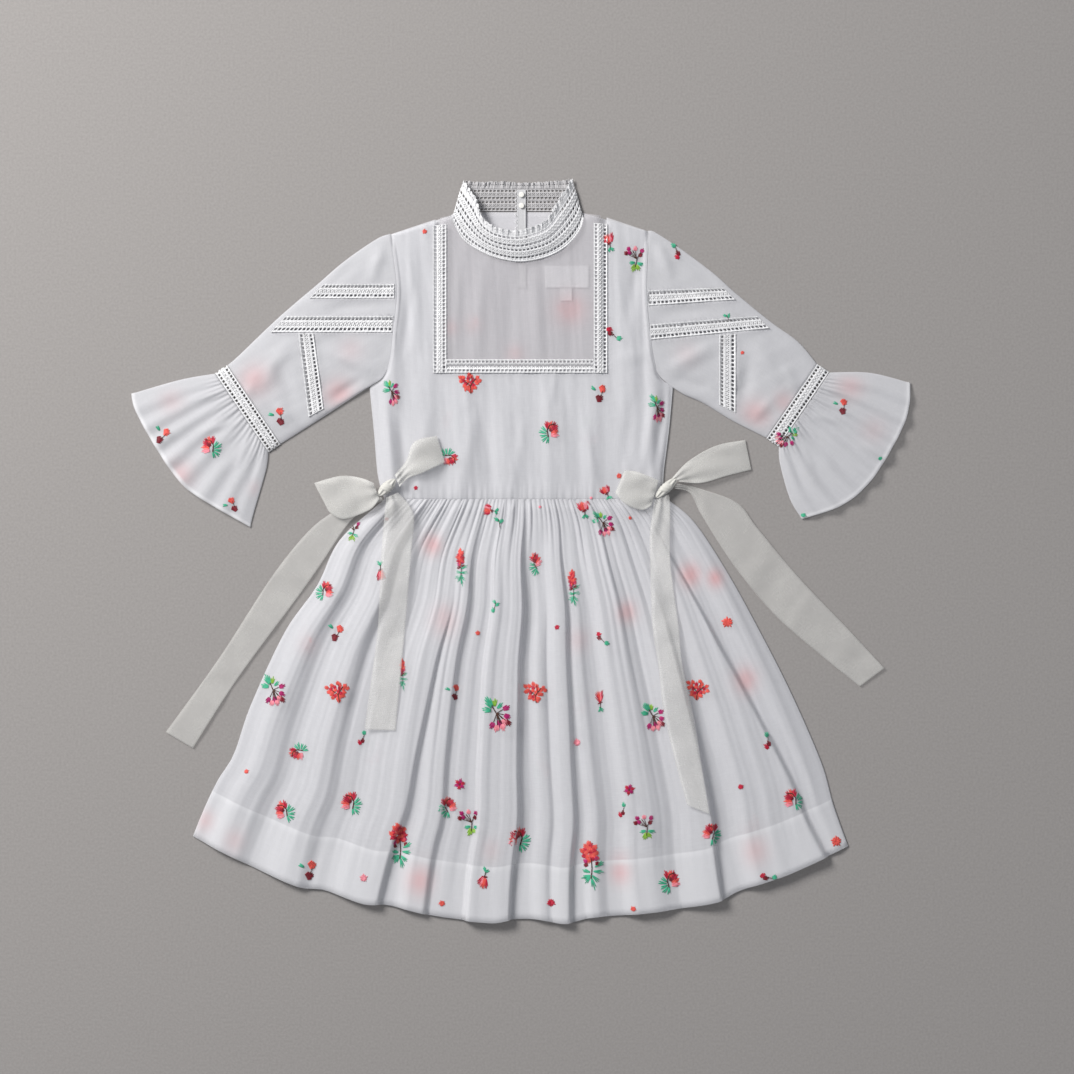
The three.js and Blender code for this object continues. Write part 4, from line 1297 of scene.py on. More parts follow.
class Lacemaker:
    """Makes tapes of lace and lays them along a band of plan."""

    def __init__(self) -> None:
        """Makes the cell and the tree that every tape shares."""
        self.tape = LaceTape()
        self.cell = self.tape.cell()
        self.tree = self.tape.tree()

    def band(self, name: str, length: float, place: Plan,
             *nodes: str, ends: bool = True, finish: Finish = Finish.LACE) -> Piece:
        """Args:
            name: The piece's name.
            length: The band's length, which gives the number of cells.
            place: Gives a point and a way up, six numbers, from share along and share across.
            nodes: The solids that it replaces.
            ends: Whether the tape has two ends that are closed, or runs round and joins itself.
            finish: Its finish.

        Returns:
            The object, at the origin, in metres.
        """
        count = max(2, round(length / self.tape.pitch))
        carrier = piece_of(name, bpy.data.meshes.new(name))
        run_tree(carrier, self.tree, {"Cell": self.cell, "Count": count, "Pitch": self.tape.pitch * MM,
                                      "Finish": finish.made()})
        mesh = carrier.data
        mesh.name = name
        spots = vertices_of(mesh).astype(float) / MM
        found = place(spots[:, 0] / (count * self.tape.pitch), spots[:, 1] / self.tape.width + 0.5)
        moved = (found[:, :3] + found[:, 3:] * spots[:, 2:3]) * MM
        mesh.vertices.foreach_set("co", moved.astype(np.float32).ravel())
        form = bmesh.new()
        form.from_mesh(mesh)
        bmesh.ops.remove_doubles(form, verts=form.verts[:], dist=WELD)
        if ends:
            bmesh.ops.holes_fill(form, edges=[edge for edge in form.edges if edge.is_boundary])
        bmesh.ops.recalc_face_normals(form, faces=form.faces[:])
        form.to_mesh(mesh)
        form.free()
        mesh.polygons.foreach_set("use_smooth", [True] * len(mesh.polygons))
        mesh.update()
        dress(carrier, finish, "lace", *nodes)
        return carrier

    def flat_band(self, name: str, corners: Places, bed: Bed, lift: float = 0.25) -> Piece:
        """A tape between four corners, laid on what is below.

        Args:
            name: The solid that it replaces.
            corners: Low start, low end, high end and high start.
            bed: What it lies on.
            lift: How far its middle is above that.

        Returns:
            The object.
        """
        a, b, c, d = (np.array(corner, float) for corner in corners)

        def plan(u: Grid, v: Grid) -> Grid:
            """Places in plan from share along and share across."""
            u, v = u[..., None], v[..., None]
            return mix(mix(a, b, u), mix(d, c, u), v)

        heights = bed.height(plan(*lattice(45, 4)))
        heights = spread(heights.max(axis=1, keepdims=True) * 0.6 + heights * 0.4, 3)

        def place(along: Grid, across: Grid) -> Grid:
            """A point and the way up."""
            return facing_up(plan(along, across), read_grid(heights, along, across) + lift)

        length = float(np.linalg.norm(b - a) + np.linalg.norm(c - d)) / 2
        return self.band(name + "_band", length, place, name)


def facing_up(plan: Grid, height: Grid) -> Grid:
    """Points with the way straight up, six numbers each."""
    return np.column_stack([plan, height, np.tile((0.0, 0.0, 1.0), (len(plan), 1))])


def spread(heights: Grid, reach: int) -> Grid:
    """Heights that bridge dips: the greatest within reach along the first axis, then evened out.

    Args:
        heights: Heights by station and lane.
        reach: Stations each way.

    Returns:
        The evened heights.
    """
    for evened in (np.max, np.mean):
        padded = np.pad(heights, ((reach, reach), (0, 0)), mode="edge")
        heights = evened([padded[k:k + len(heights)] for k in range(2 * reach + 1)], axis=0)
    return heights


def read_grid(grid: Grid, u: Grid, v: Grid) -> Grid:
    """Reads a grid of values between its points.

    Args:
        grid: Values, evenly spaced each way.
        u: Share along the first axis.
        v: Share along the second.

    Returns:
        The values there.
    """
    x = np.clip(u, 0, 1) * (grid.shape[0] - 1)
    y = np.clip(v, 0, 1) * (grid.shape[1] - 1)
    i, j = np.minimum(x.astype(int), grid.shape[0] - 2), np.minimum(y.astype(int), grid.shape[1] - 2)
    s, t = x - i, y - j
    return ((1 - s) * (1 - t) * grid[i, j] + s * (1 - t) * grid[i + 1, j]
            + (1 - s) * t * grid[i, j + 1] + s * t * grid[i + 1, j + 1])


@dataclass
class LaceTrim:
    """The lace frame of the yoke, and the bands and cuffs of the sleeves."""

    maker: Lacemaker

    def build(self, bed: Bed) -> None:
        """Builds and dresses every band.

        Args:
            bed: What is laid so far; the bands are added to it.
        """
        half = LACE_WIDTH / 2
        left, right, low = YOKE_LEFT, YOKE_RIGHT, YOKE_BOTTOM
        frames = (
            ("yoke_lace_left", ((left + half, low - half), (left + half, 325), (left - half, 324),
                                (left - half, low - half))),
            ("yoke_lace_right", ((right + half, low - half), (right + half, 325.5), (right - half, 326.5),
                                 (right - half, low - half))),
            ("yoke_lace_bottom", ((left + half, low - half), (right - half, low - half),
                                  (right - half, low + half), (left + half, low + half))))
        made = [self.maker.flat_band(name, corners, bed) for name, corners in frames]
        for sleeve in SLEEVES:
            for name, corners in sleeve.bands:
                made.append(self.maker.flat_band(name, corners, bed, 0.1))
            made.append(self.cuff(sleeve))
        bed.lay(*made)

    def cuff(self, sleeve: Sleeve) -> Piece:
        """The lace cuff, a tape bent all the way round the flattened sleeve.

        Args:
            sleeve: The sleeve that it ends.

        Returns:
            The cuff.
        """
        start, end = Line(sleeve.gap(sleeve.wrist, 1)), Line(sleeve.gap(sleeve.cuff, -1))
        turn = np.linspace(0, 2 * np.pi, 241)
        share = 0.5 - 0.5 * np.cos(turn)
        above = sleeve.roof(np.ones_like(share), share) - 0.35 - MEETING
        below = -0.45  # how far the lower layer lies under the folds
        lift = MEETING + np.where(turn <= np.pi, below, above) * swelling(share)
        plan = start.at(share)
        run = np.concatenate([[0], np.cumsum(np.hypot(np.hypot(*np.diff(plan, axis=0).T), np.diff(lift)))])
        way = np.gradient(np.column_stack([plan, lift]), axis=0)
        over = end.at(share) - plan
        out = unit(np.cross(way, np.column_stack([over, np.zeros(len(over))])))
        sign = np.sign(out[180, 2]) or 1.0

        def place(along: Grid, across: Grid) -> Grid:
            """A point on the cuff and the way out of it.

            Args:
                along: Share along the row.
                across: Share across it.

            Returns:
                Six numbers for each.
            """
            at = along % 1.0001 * run[-1]
            shares, heights = np.interp(at, run, share), np.interp(at, run, lift)
            outs = np.column_stack([np.interp(at, run, out[:, k]) for k in range(3)]) * sign
            spot = mix(start.at(shares), end.at(shares), across[:, None])
            return np.column_stack([spot, heights, outs])

        return self.maker.band(f"cuff_{sleeve.side}_lace", float(run[-1]), place, f"cuff_lace_{sleeve.side}",
                               ends=False)


@dataclass
class Collar:
    """The standing lace collar: rows of lace, frilled edges and a twisted cord at its foot."""

    maker: Lacemaker
    low: float = 1.6
    rise: float = 8.5
    back_neck: float = 338.0
    back_top: float = 361.0
    frill_cells: tuple[int, int] = (400, 12)

    def height(self, u: Grid, v: Grid) -> Grid:
        """Height of the front collar's underside."""
        middle = np.sin(np.pi * np.clip(u, 0, 1)) ** 0.6
        return self.low + middle * (3.2 + self.rise * np.clip(v, 0, 2) ** 0.8)

    def plan(self) -> Patch:
        """The front collar's outline, from the neck seam to the frill's edge."""
        return Patch(Line(NECK_FRONT), Line(FRILL_FRONT_EDGE), Line((NECK_FRONT[0], FRILL_FRONT_EDGE[0])),
                     Line((NECK_FRONT[-1], FRILL_FRONT_EDGE[-1])))

    def build(self, bed: Bed) -> None:
        """Builds and dresses the collar, and lays it on the bed."""
        bed.lay(*self.front_rows(), *self.back_rows(), self.front_frill(), self.back_frill(), self.cord())

    def front_rows(self) -> list[Piece]:
        """The two rows of lace of the front collar.

        Returns:
            The two pieces.
        """
        patch = self.plan()

        def surface(u: Grid, v: Grid) -> Grid:
            """Points on the middle of the collar's wall."""
            return np.column_stack([patch.at(u, v), self.height(u, v) + LACE / 2])

        made = []
        for number, (low, high) in enumerate(((0.035, 0.41), (0.415, 0.8))):
            def place(along: Grid, across: Grid) -> Grid:
                """A point on the collar and the way out of it.

                Args:
                    along: Share along the row.
                    across: Share across it.

                Returns:
                    Six numbers for each.
                """
                v = mix(low, high, across)
                step = 0.01
                spot = surface(along, v)
                out = np.cross(surface(along + step, v) - spot, surface(along, v + step) - spot)
                return np.column_stack([spot, unit(out)])

            made.append(self.maker.band(f"collar_front_row_{number + 1}", 165 - 22 * number, place,
                                        *(("collar_front",) if number == 0 else ())))
        return made

    def back_rows(self) -> list[Piece]:
        """The two rows of lace of the back collar, which lies flat.

        Returns:
            The two pieces.
        """
        made = []
        for number, (low, high) in enumerate(((0.02, 0.5), (0.51, 0.99))):
            def place(along: Grid, across: Grid) -> Grid:
                """A point on the back collar and the way up.

                Args:
                    along: Share along the row.
                    across: Share across it.

                Returns:
                    Six numbers for each.
                """
                v = mix(low, high, across)
                x = mix(mix(-66, -58.5, v), mix(60, 52.5, v), along)
                y = mix(self.back_neck + 0.2, self.back_top, v)
                return facing_up(np.column_stack([x, y]), np.full_like(x, 0.45))

            # The back rows take the lace painted darker, as painted shade under the front collar.
            made.append(self.maker.band(f"collar_back_row_{number + 1}", 122 - 8 * number, place,
                                        *(("collar_back",) if number == 0 else ()), finish=Finish.SHADED_BACK_LACE))
        return made

    def frill(self, name: str, plan: Plan, lift: Plan, waves: float, flat: Pair) -> Piece:
        """A gathered lace edge with scallops and small points.

        Args:
            name: The piece's name.
            plan: Places in plan from share along and share out to the edge.
            lift: Height of its middle there.
            waves: Waves along it.
            flat: Size of the flat edging.

        Returns:
            The object.
        """
        u, v = lattice(*self.frill_cells)
        turn = 2 * np.pi * waves * (u + 0.012 * np.sin(31 * u) + 0.006 * np.sin(87 * u))
        scallop = 0.2 * np.abs(np.sin(turn * 1.5)) + 0.1 * np.abs(np.sin(turn * 4.5 + 1)) - 0.2
        reach = v * (1 + scallop * smooth((v - 0.4) * 2) + 0.05 * wander(u * 60, 17))
        points = np.dstack([plan(u, reach), lift(u, reach)])
        points[..., 2] += v ** 0.8 * (1.7 * (0.5 + 0.5 * np.cos(turn)) + 0.5 * np.sin(turn * 2.7))
        points[..., 0] += v * 0.8 * np.sin(turn * 1.3 + 0.6)
        middle = (v[:-1, :-1] + v[1:, 1:]) / 2
        eyelet = (np.arange(len(middle))[:, None] % 6 < 3) & (np.abs(middle - 0.54) < 0.06)
        made = Shell(name, points, thickness=0.5, keep=~eyelet, flat=flat).build()
        return made

    def front_frill(self) -> Piece:
        """The frill along the front collar's top.

        Returns:
            The dressed object.
        """
        patch = self.plan()
        made = self.frill("collar_front_frill", lambda u, v: patch.at(u, mix(0.79, 1.0, v)),
                          lambda u, v: self.height(u, mix(0.79, 1.0, v)) + LACE / 2, 22, (165, 12))
        return dress(made, Finish.LACE, "lace", "collar_frill_front")

    def back_frill(self) -> Piece:
        """The frill along the back collar's top.

        Returns:
            The dressed object.
        """
        foot = Line(((-58.3, self.back_top), (52.3, self.back_top)))
        edge = Line(((-56, 369), (-40, 367.5), (-20, 368.5), (0, 367), (25, 368), (50, 370.5)))
        made = self.frill("collar_back_frill", lambda u, v: mix(foot.at(u), edge.at(u), v[..., None]),
                          lambda u, v: 0.5 + 0 * u, 17, (128, 10))
        # The back frill takes the lace painted darker, as painted shade under the front collar.
        return dress(made, Finish.SHADED_BACK_LACE, "lace", "collar_frill_back")

    def cord(self) -> Piece:
        """The twisted cord that covers the front neck seam.

        Returns:
            The dressed object.
        """
        line = Line(NECK_FRONT)
        share = np.linspace(0, 1, 420)
        spots = np.column_stack([line.at(share), self.height(share, 0 * share) + 1.0])
        way = unit(np.gradient(spots, axis=0))
        side = unit(np.cross(way, np.array([0, 0, 1.0])))
        up = np.cross(side, way)
        angle = np.linspace(0, 2 * np.pi, 12, endpoint=False)[:, None]
        twist = share[None, :] * line.length / 2.6 * np.pi
        radius = 0.72 + 0.42 * np.abs(np.cos(angle + twist))
        points = (spots[None] + (radius * np.cos(angle))[..., None] * side[None]
                  + (radius * np.sin(angle))[..., None] * up[None])
        return dress(solid("neck_cord", points), Finish.LACE, "lace")


@dataclass(frozen=True)
class Strip:
    """One stretch of ribbon as its two edges, from the knot outwards; a loop has a height of its own."""

    name: str
    first: Places
    second: Places
    rise: float = 0.0


@dataclass
class Tie:
    """A ribbon bow at one side of the waist: two tails, two loops and the knot that holds them."""

    side: str
    knot_at: Pair
    knot_size: tuple[float, float, float]
    knot_turn: float
    tails: tuple[Strip, ...]
    loops: tuple[Strip, ...]
    fall: float = 16.0  # how far from the knot a stretch comes down
    loop_gap: float = 2.4
    wide: float = 0.036  # metres across the flat ribbon

    def build(self, bed: Bed) -> None:
        """Builds and dresses the bow, each stretch on what lies below it.

        Args:
            bed: What is laid so far; the bow is added to it.
        """
        spot = np.array([self.knot_at]) + np.array([[0, 0], [4, 0], [-4, 0], [0, 4], [0, -4]])
        hub = float(bed.height(spot).max()) + SEAM + self.knot_size[2] / 2
        for laid, strips in ((self.tail, self.tails), (self.loop, self.loops)):
            for number, strip in enumerate(strips):
                bed.lay(laid(strip, hub, bed, number))
        self.knot(hub)

    def ruled(self, strip: Strip, u: Grid, v: Grid) -> Grid:
        """Places between a strip's edges, by share across and share along."""
        return mix(Line(strip.first).at(v), Line(strip.second).at(v), u[..., None])

    def tail(self, strip: Strip, hub: float, bed: Bed, number: int) -> Piece:
        """A free end, which bridges the folds below it.

        Args:
            strip: Its edges.
            hub: Height of the knot's middle.
            bed: What it lies on.
            number: Which tail it is.

        Returns:
            The object.
        """
        length = Line(strip.first).length
        v, u = lattice(int(length / 2.0), 14)
        plan = self.ruled(strip, u, v)
        below = bed.height(plan)
        most = below.max(axis=1, keepdims=True)
        lift = spread(mix(most, below, 0.3), 4)
        lift = np.maximum(lift, below + 0.15) + 0.45
        away = v * length
        lift = np.maximum(lift, (hub - 0.5) * (1 - smooth(away / self.fall)))
        crumple = smooth((70 - away) / 60) * smooth(away / 10)
        turn = 2 * np.pi * (u * 1.5 + away * 0.012 + 0.3 * number)
        lift = lift + 1.5 * crumple * (0.5 + 0.5 * np.cos(turn))
        lift = lift + 1.9 * (0.5 + 0.5 * wander(away * 0.06 + u * 0.8, 60 + number)) * smooth(away / 40)
        ripple = 0.5 + 0.5 * wander(away * 0.1 + u * 1.6 * np.sin(away * 0.04 + number), 70 + number)
        lift = lift + 0.8 * ripple * smooth(away / 30)
        gathered = 0.8 * (1 - smooth(away / 22)) * np.cos(2 * np.pi * 2.5 * u)
        points = np.dstack([plan, lift + gathered])
        rolled = 1 + 0.9 * ((u < 0.03) | (u > 0.97) | (v > 0.996))
        made = Shell(strip.name + "_ribbon", points.transpose(1, 0, 2), thickness=(0.28 * rolled).T,
                     flat=(33, length)).build()
        dress(made, Finish.RIBBON, "ribbon", strip.name)
        min(self.area(strip) * 1.03, self.wide * length * MM)
        return made

    def area(self, strip: Strip) -> float:
        """The flat area between a strip's edges.

        Args:
            strip: Its edges.

        Returns:
            The area in square metres.
        """
        share = np.linspace(0, 1, 60)
        outline = np.concatenate([Line(strip.first).at(share), Line(strip.second).at(share)[::-1]])
        x, y = outline.T
        return float(abs(x @ np.roll(y, 1) - y @ np.roll(x, 1)) / 2 * MM * MM)

    def loop(self, strip: Strip, hub: float, bed: Bed, number: int) -> Piece:
        """A loop of the bow: out from the knot below and back above, pleated where it enters the knot.

        Args:
            strip: Its edges.
            hub: Height of the knot's middle.
            bed: What it lies on.
            number: Which loop it is.

        Returns:
            The object.
        """
        length = Line(strip.first).length
        half, lanes = 40, 18
        v, u = lattice(60, lanes)
        below = bed.height(self.ruled(strip, u, v)).max(axis=1, keepdims=True)
        falling = (hub - self.loop_gap / 2) * (1 - smooth(v[:, 0] * length / self.fall))
        resting = np.maximum(spread(below, 5)[:, 0], falling)
        share = 0.5 - 0.5 * np.cos(np.linspace(0, np.pi, half + 1))
        along = np.concatenate([share, share[::-1][1:]])
        over = np.concatenate([np.zeros(half + 1, bool), np.ones(half, bool)])
        along_grid, u = np.broadcast_arrays(along[:, None], np.linspace(0, 1, lanes + 1)[None, :])
        rest = np.interp(along_grid, np.linspace(0, 1, 61), resting) + 0.35
        opening = np.sin(np.pi * np.clip(along_grid, 0, 1) ** 0.8) ** 0.7
        gap = self.loop_gap + (strip.rise - self.loop_gap) * opening
        end = np.sqrt(np.clip(1 - along_grid ** 14, 0, 1))
        middle = rest + gap * 0.42
        top = middle + (gap * 0.58 - 0.35) * end
        low = middle - gap * 0.42 * end
        pleats = (1 - smooth(along_grid * 2.2)) * np.cos(2 * np.pi * (2.4 * u + 0.2 * number))
        turn = 2 * np.pi * (1.4 * u + 0.9 * along_grid + 0.3 * number)
        soft = 0.8 * np.sin(np.pi * along_grid) * np.cos(turn)
        lift = np.where(over[:, None], top + 0.75 * pleats + soft, low + 0.3 * (1 + pleats))
        plan = self.ruled(strip, u, along_grid)
        made = Shell(strip.name + "_ribbon", np.dstack([plan, lift]).transpose(1, 0, 2), thickness=0.3,
                     flat=(33, length * 2)).build()
        dress(made, Finish.RIBBON, "ribbon", strip.name)
        min(self.area(strip) * 2.1, self.wide * 2 * length * MM)
        return made

    def knot(self, hub: float) -> Piece:
        """The knot: a lump wrapped by one turn of ribbon, with the grooves that run into it.

        Args:
            hub: Height of its middle.

        Returns:
            The object.
        """
        around = np.linspace(0, 2 * np.pi, 72, endpoint=False)[:, None]
        pole = np.linspace(0.02, np.pi - 0.02, 45)[None, :]
        around, pole = np.broadcast_arrays(around, pole)
        x, y, z = np.cos(pole), np.sin(pole) * np.cos(around), np.sin(pole) * np.sin(around)
        wrap = smooth((0.42 - np.abs(x + 0.12 * y)) * 9)
        grooves = 0.12 * np.cos(6 * around + 3 * x) * (1 - wrap) + 0.06 * np.cos(26 * x + 6 * y) * wrap
        size = 0.80 + 0.16 * wrap + grooves
        points = np.dstack([x * (0.93 + 0.05 * wrap), y * size, z * size]) * np.array(self.knot_size) / 2
        c, s = np.cos(self.knot_turn), np.sin(self.knot_turn)
        turned = np.dstack([points[..., 0] * c - points[..., 1] * s + self.knot_at[0],
                            points[..., 0] * s + points[..., 1] * c + self.knot_at[1], points[..., 2] + hub])
        return dress(solid(f"knot_{self.side}_ribbon", turned), Finish.KNOT, "ribbon", f"knot_{self.side}")


TIES = (
    Tie(
        "left", (-133.5, 62.5), (25, 11.5, 8), 0.75,
        tails=(
            Strip("tail_long_left",
                  ((-144, 58), (-170, 46), (-191, 36), (-215, 16), (-250, -28), (-301, -107), (-355, -182)),
                  ((-137, 50), (-160, 38), (-176, 22), (-200, -14), (-224, -48), (-283, -128), (-328, -198))),
            Strip("tail_short_left", ((-134, 52.5), (-138, 10), (-141, -50), (-144, -90), (-156, -179)),
                  ((-122.5, 57.5), (-107, 36), (-109, 0), (-114, -60), (-125, -180)))),
        loops=(
            Strip("loop_outer_left", ((-141, 50.6), (-151, 40), (-177, 31), (-192, 38.4)),
                  ((-147, 67), (-160, 72), (-180, 74), (-206.7, 67)), 6.6),
            Strip("loop_inner_left", ((-121, 63), (-112, 72), (-98, 77), (-76, 87.5)),
                  ((-125.5, 75), (-114, 90), (-106, 108), (-84, 114)), 5.4))),
    Tie(
        "right", (145, 62), (31, 10.5, 8), 0.75,
        tails=(
            Strip("tail_long_right",
                  ((153.1, 61.5), (169, 57), (181, 34), (214, -17), (255, -66), (302, -107), (338.6, -136.3)),
                  ((154.6, 67), (180, 61), (216, 47), (237, 21), (279, -29), (324, -76), (363, -118))),
            Strip("tail_short_right",
                  ((133.5, 49.5), (129, 20), (129, -13), (131, -74), (137, -115), (144, -170), (165.4, -254)),
                  ((148, 56), (149, 30), (149, -13), (157, -74), (161, -115), (172.5, -170), (187.8, -263)))),
        loops=(
            Strip("loop_outer_right", ((158.1, 68.2), (180, 67), (207, 74.5), (230, 80.3)),
                  ((151.1, 72.2), (168, 89.4), (195, 104.3), (224, 110)), 6.4),
            Strip("loop_inner_right", ((130, 44.5), (120, 40), (104, 46), (94, 57)),
                  ((137.2, 69.5), (129, 73), (116, 78), (103.4, 79.5)), 4.8))),
)


@dataclass
class BackOpening:
    """Inside the back: the buttoned placket with its thread loops, and two bare labels."""

    placket: tuple[float, float, float, float] = (-4.0, 5.0, 262.0, 360.0)  # left, right, low, high
    buttons: tuple[float, ...] = (344.0, 355.0)

    def build(self, bed: Bed) -> None:
        """Builds and dresses the pieces.

        Args:
            bed: What is laid so far; the pieces are added to it.
        """
        left, right, low, high = self.placket
        x, y = lattice(12, 120, self.placket)
        lift = 1.85 + 0.25 * ((x - left < 0.9) | (right - x < 0.9)) + 0.15 * wander(y * 0.2 + x * 0.1, 33)
        band = Shell("placket_band", np.dstack([x, y, lift]), thickness=0.5, flat=(9, 98)).build()
        made = [dress(band, Finish.PLACKET, "organdy", "back_placket")]
        made.append(dress(self.loops(), Finish.LACE, "organdy"))
        for number, height in enumerate(self.buttons):
            node = f"back_button_{number + 1}"
            made.append(dress(self.button(number + 1, height), Finish.PEARL, "button", node))
        made.append(self.label("neck_label", "neck_label_cloth", (24, 68, 262, 284)))
        made.append(self.label("size_tab", "size_tab_cloth", (39, 51, 249, 261.4)))
        bed.lay(*made)

    def loops(self) -> Piece:
        """Small thread loops along the placket's left edge.

        Returns:
            The object.
        """
        up = np.array([0, 0, 1.0])
        turn = np.linspace(-0.5 * np.pi, 0.5 * np.pi, 9)
        angle = np.linspace(0, 2 * np.pi, 6, endpoint=False)[:, None, None]
        parts = []
        for number, height in enumerate(np.arange(286, 358, 7.0)):
            line = np.column_stack([self.placket[0] + 0.3 - 2.2 * np.cos(turn), height + 1.9 * np.sin(turn),
                                    2.3 + 0.2 * np.cos(turn)])
            side = np.cross(unit(np.gradient(line, axis=0)), up)
            thread = line[None] + 0.4 * (np.cos(angle) * side[None] + np.sin(angle) * up)
            parts.append(solid(f"thread_loop_{number}", thread))
        return joined("placket_loops", parts)

    def button(self, number: int, height: float) -> Piece:
        """A small domed button with a rim and a sewing dimple.

        Args:
            number: Which button it is.
            height: Its place up the placket.

        Returns:
            The object.
        """
        profile = ((0.0, 0.0), (2.2, 0.0), (2.7, 0.35), (2.8, 0.8), (2.55, 1.25), (2.2, 1.4), (1.9, 1.28),
                   (1.2, 1.55), (0.6, 1.62), (0.35, 1.3), (0.0, 1.28))
        angle = np.linspace(0, 2 * np.pi, 40, endpoint=False)[:, None]
        radius = np.maximum(np.array([point[0] for point in profile])[None, :], 0.02)
        lift = np.broadcast_to(np.array([point[1] for point in profile])[None, :], (40, len(profile)))
        points = np.dstack([0.5 + radius * np.cos(angle), height + radius * np.sin(angle), 2.75 + lift])
        return solid(f"button_{number}", points)

    def label(self, node: str, name: str, box: tuple[float, float, float, float]) -> Piece:
        """A bare label sewn flat inside the back.

        Args:
            node: The solid that it replaces.
            name: The piece's name.
            box: Its left, right, low and high sides.

        Returns:
            The dressed object.
        """
        left, right, low, high = box
        x, y = lattice(24, 18, box)
        edge = np.minimum(np.minimum(x - left, right - x), np.minimum(y - low, high - y))
        lift = 1.75 + 0.2 * (edge < 1.4) + 0.08 * wander(x * 0.3 + y * 0.2, 50)
        made = Shell(name, np.dstack([x, y, lift]), thickness=0.35, flat=(right - left, high - low)).build()
        dress(made, Finish.LABEL, "organdy", node)
        return made


def joined(name: str, parts: list[Piece]) -> Piece:
    """Joins several objects at the origin into one.

    Args:
        name: The new piece's name.
        parts: The objects, which are removed.

    Returns:
        The one object.
    """
    form = bmesh.new()
    for part in parts:
        form.from_mesh(part.data)
        bpy.data.objects.remove(part)
    return piece_of(name, form)


class Sprig(Enum):
    """The small motifs of the embroidery, each with the method that draws it and its own scale."""

    CLUSTER = ("cluster", 1.12)
    HANGING = ("hanging", 1.2)
    BLOOM = ("bloom", 1.08)
    ROSEBUD = ("rosebud", 1.25)
    TULIP = ("tulip", 1.25)
    SPRAY = ("spray", 1.25)
    PAIR = ("pair", 1.45)
    BUD_LEAF = ("bud_leaf", 1.3)
    DOT = ("dot", 1.3)
    GREEN_DOT = ("green_dot", 1.25)
    STAR = ("star", 1.2)
    LEAF = ("leaf", 1.35)


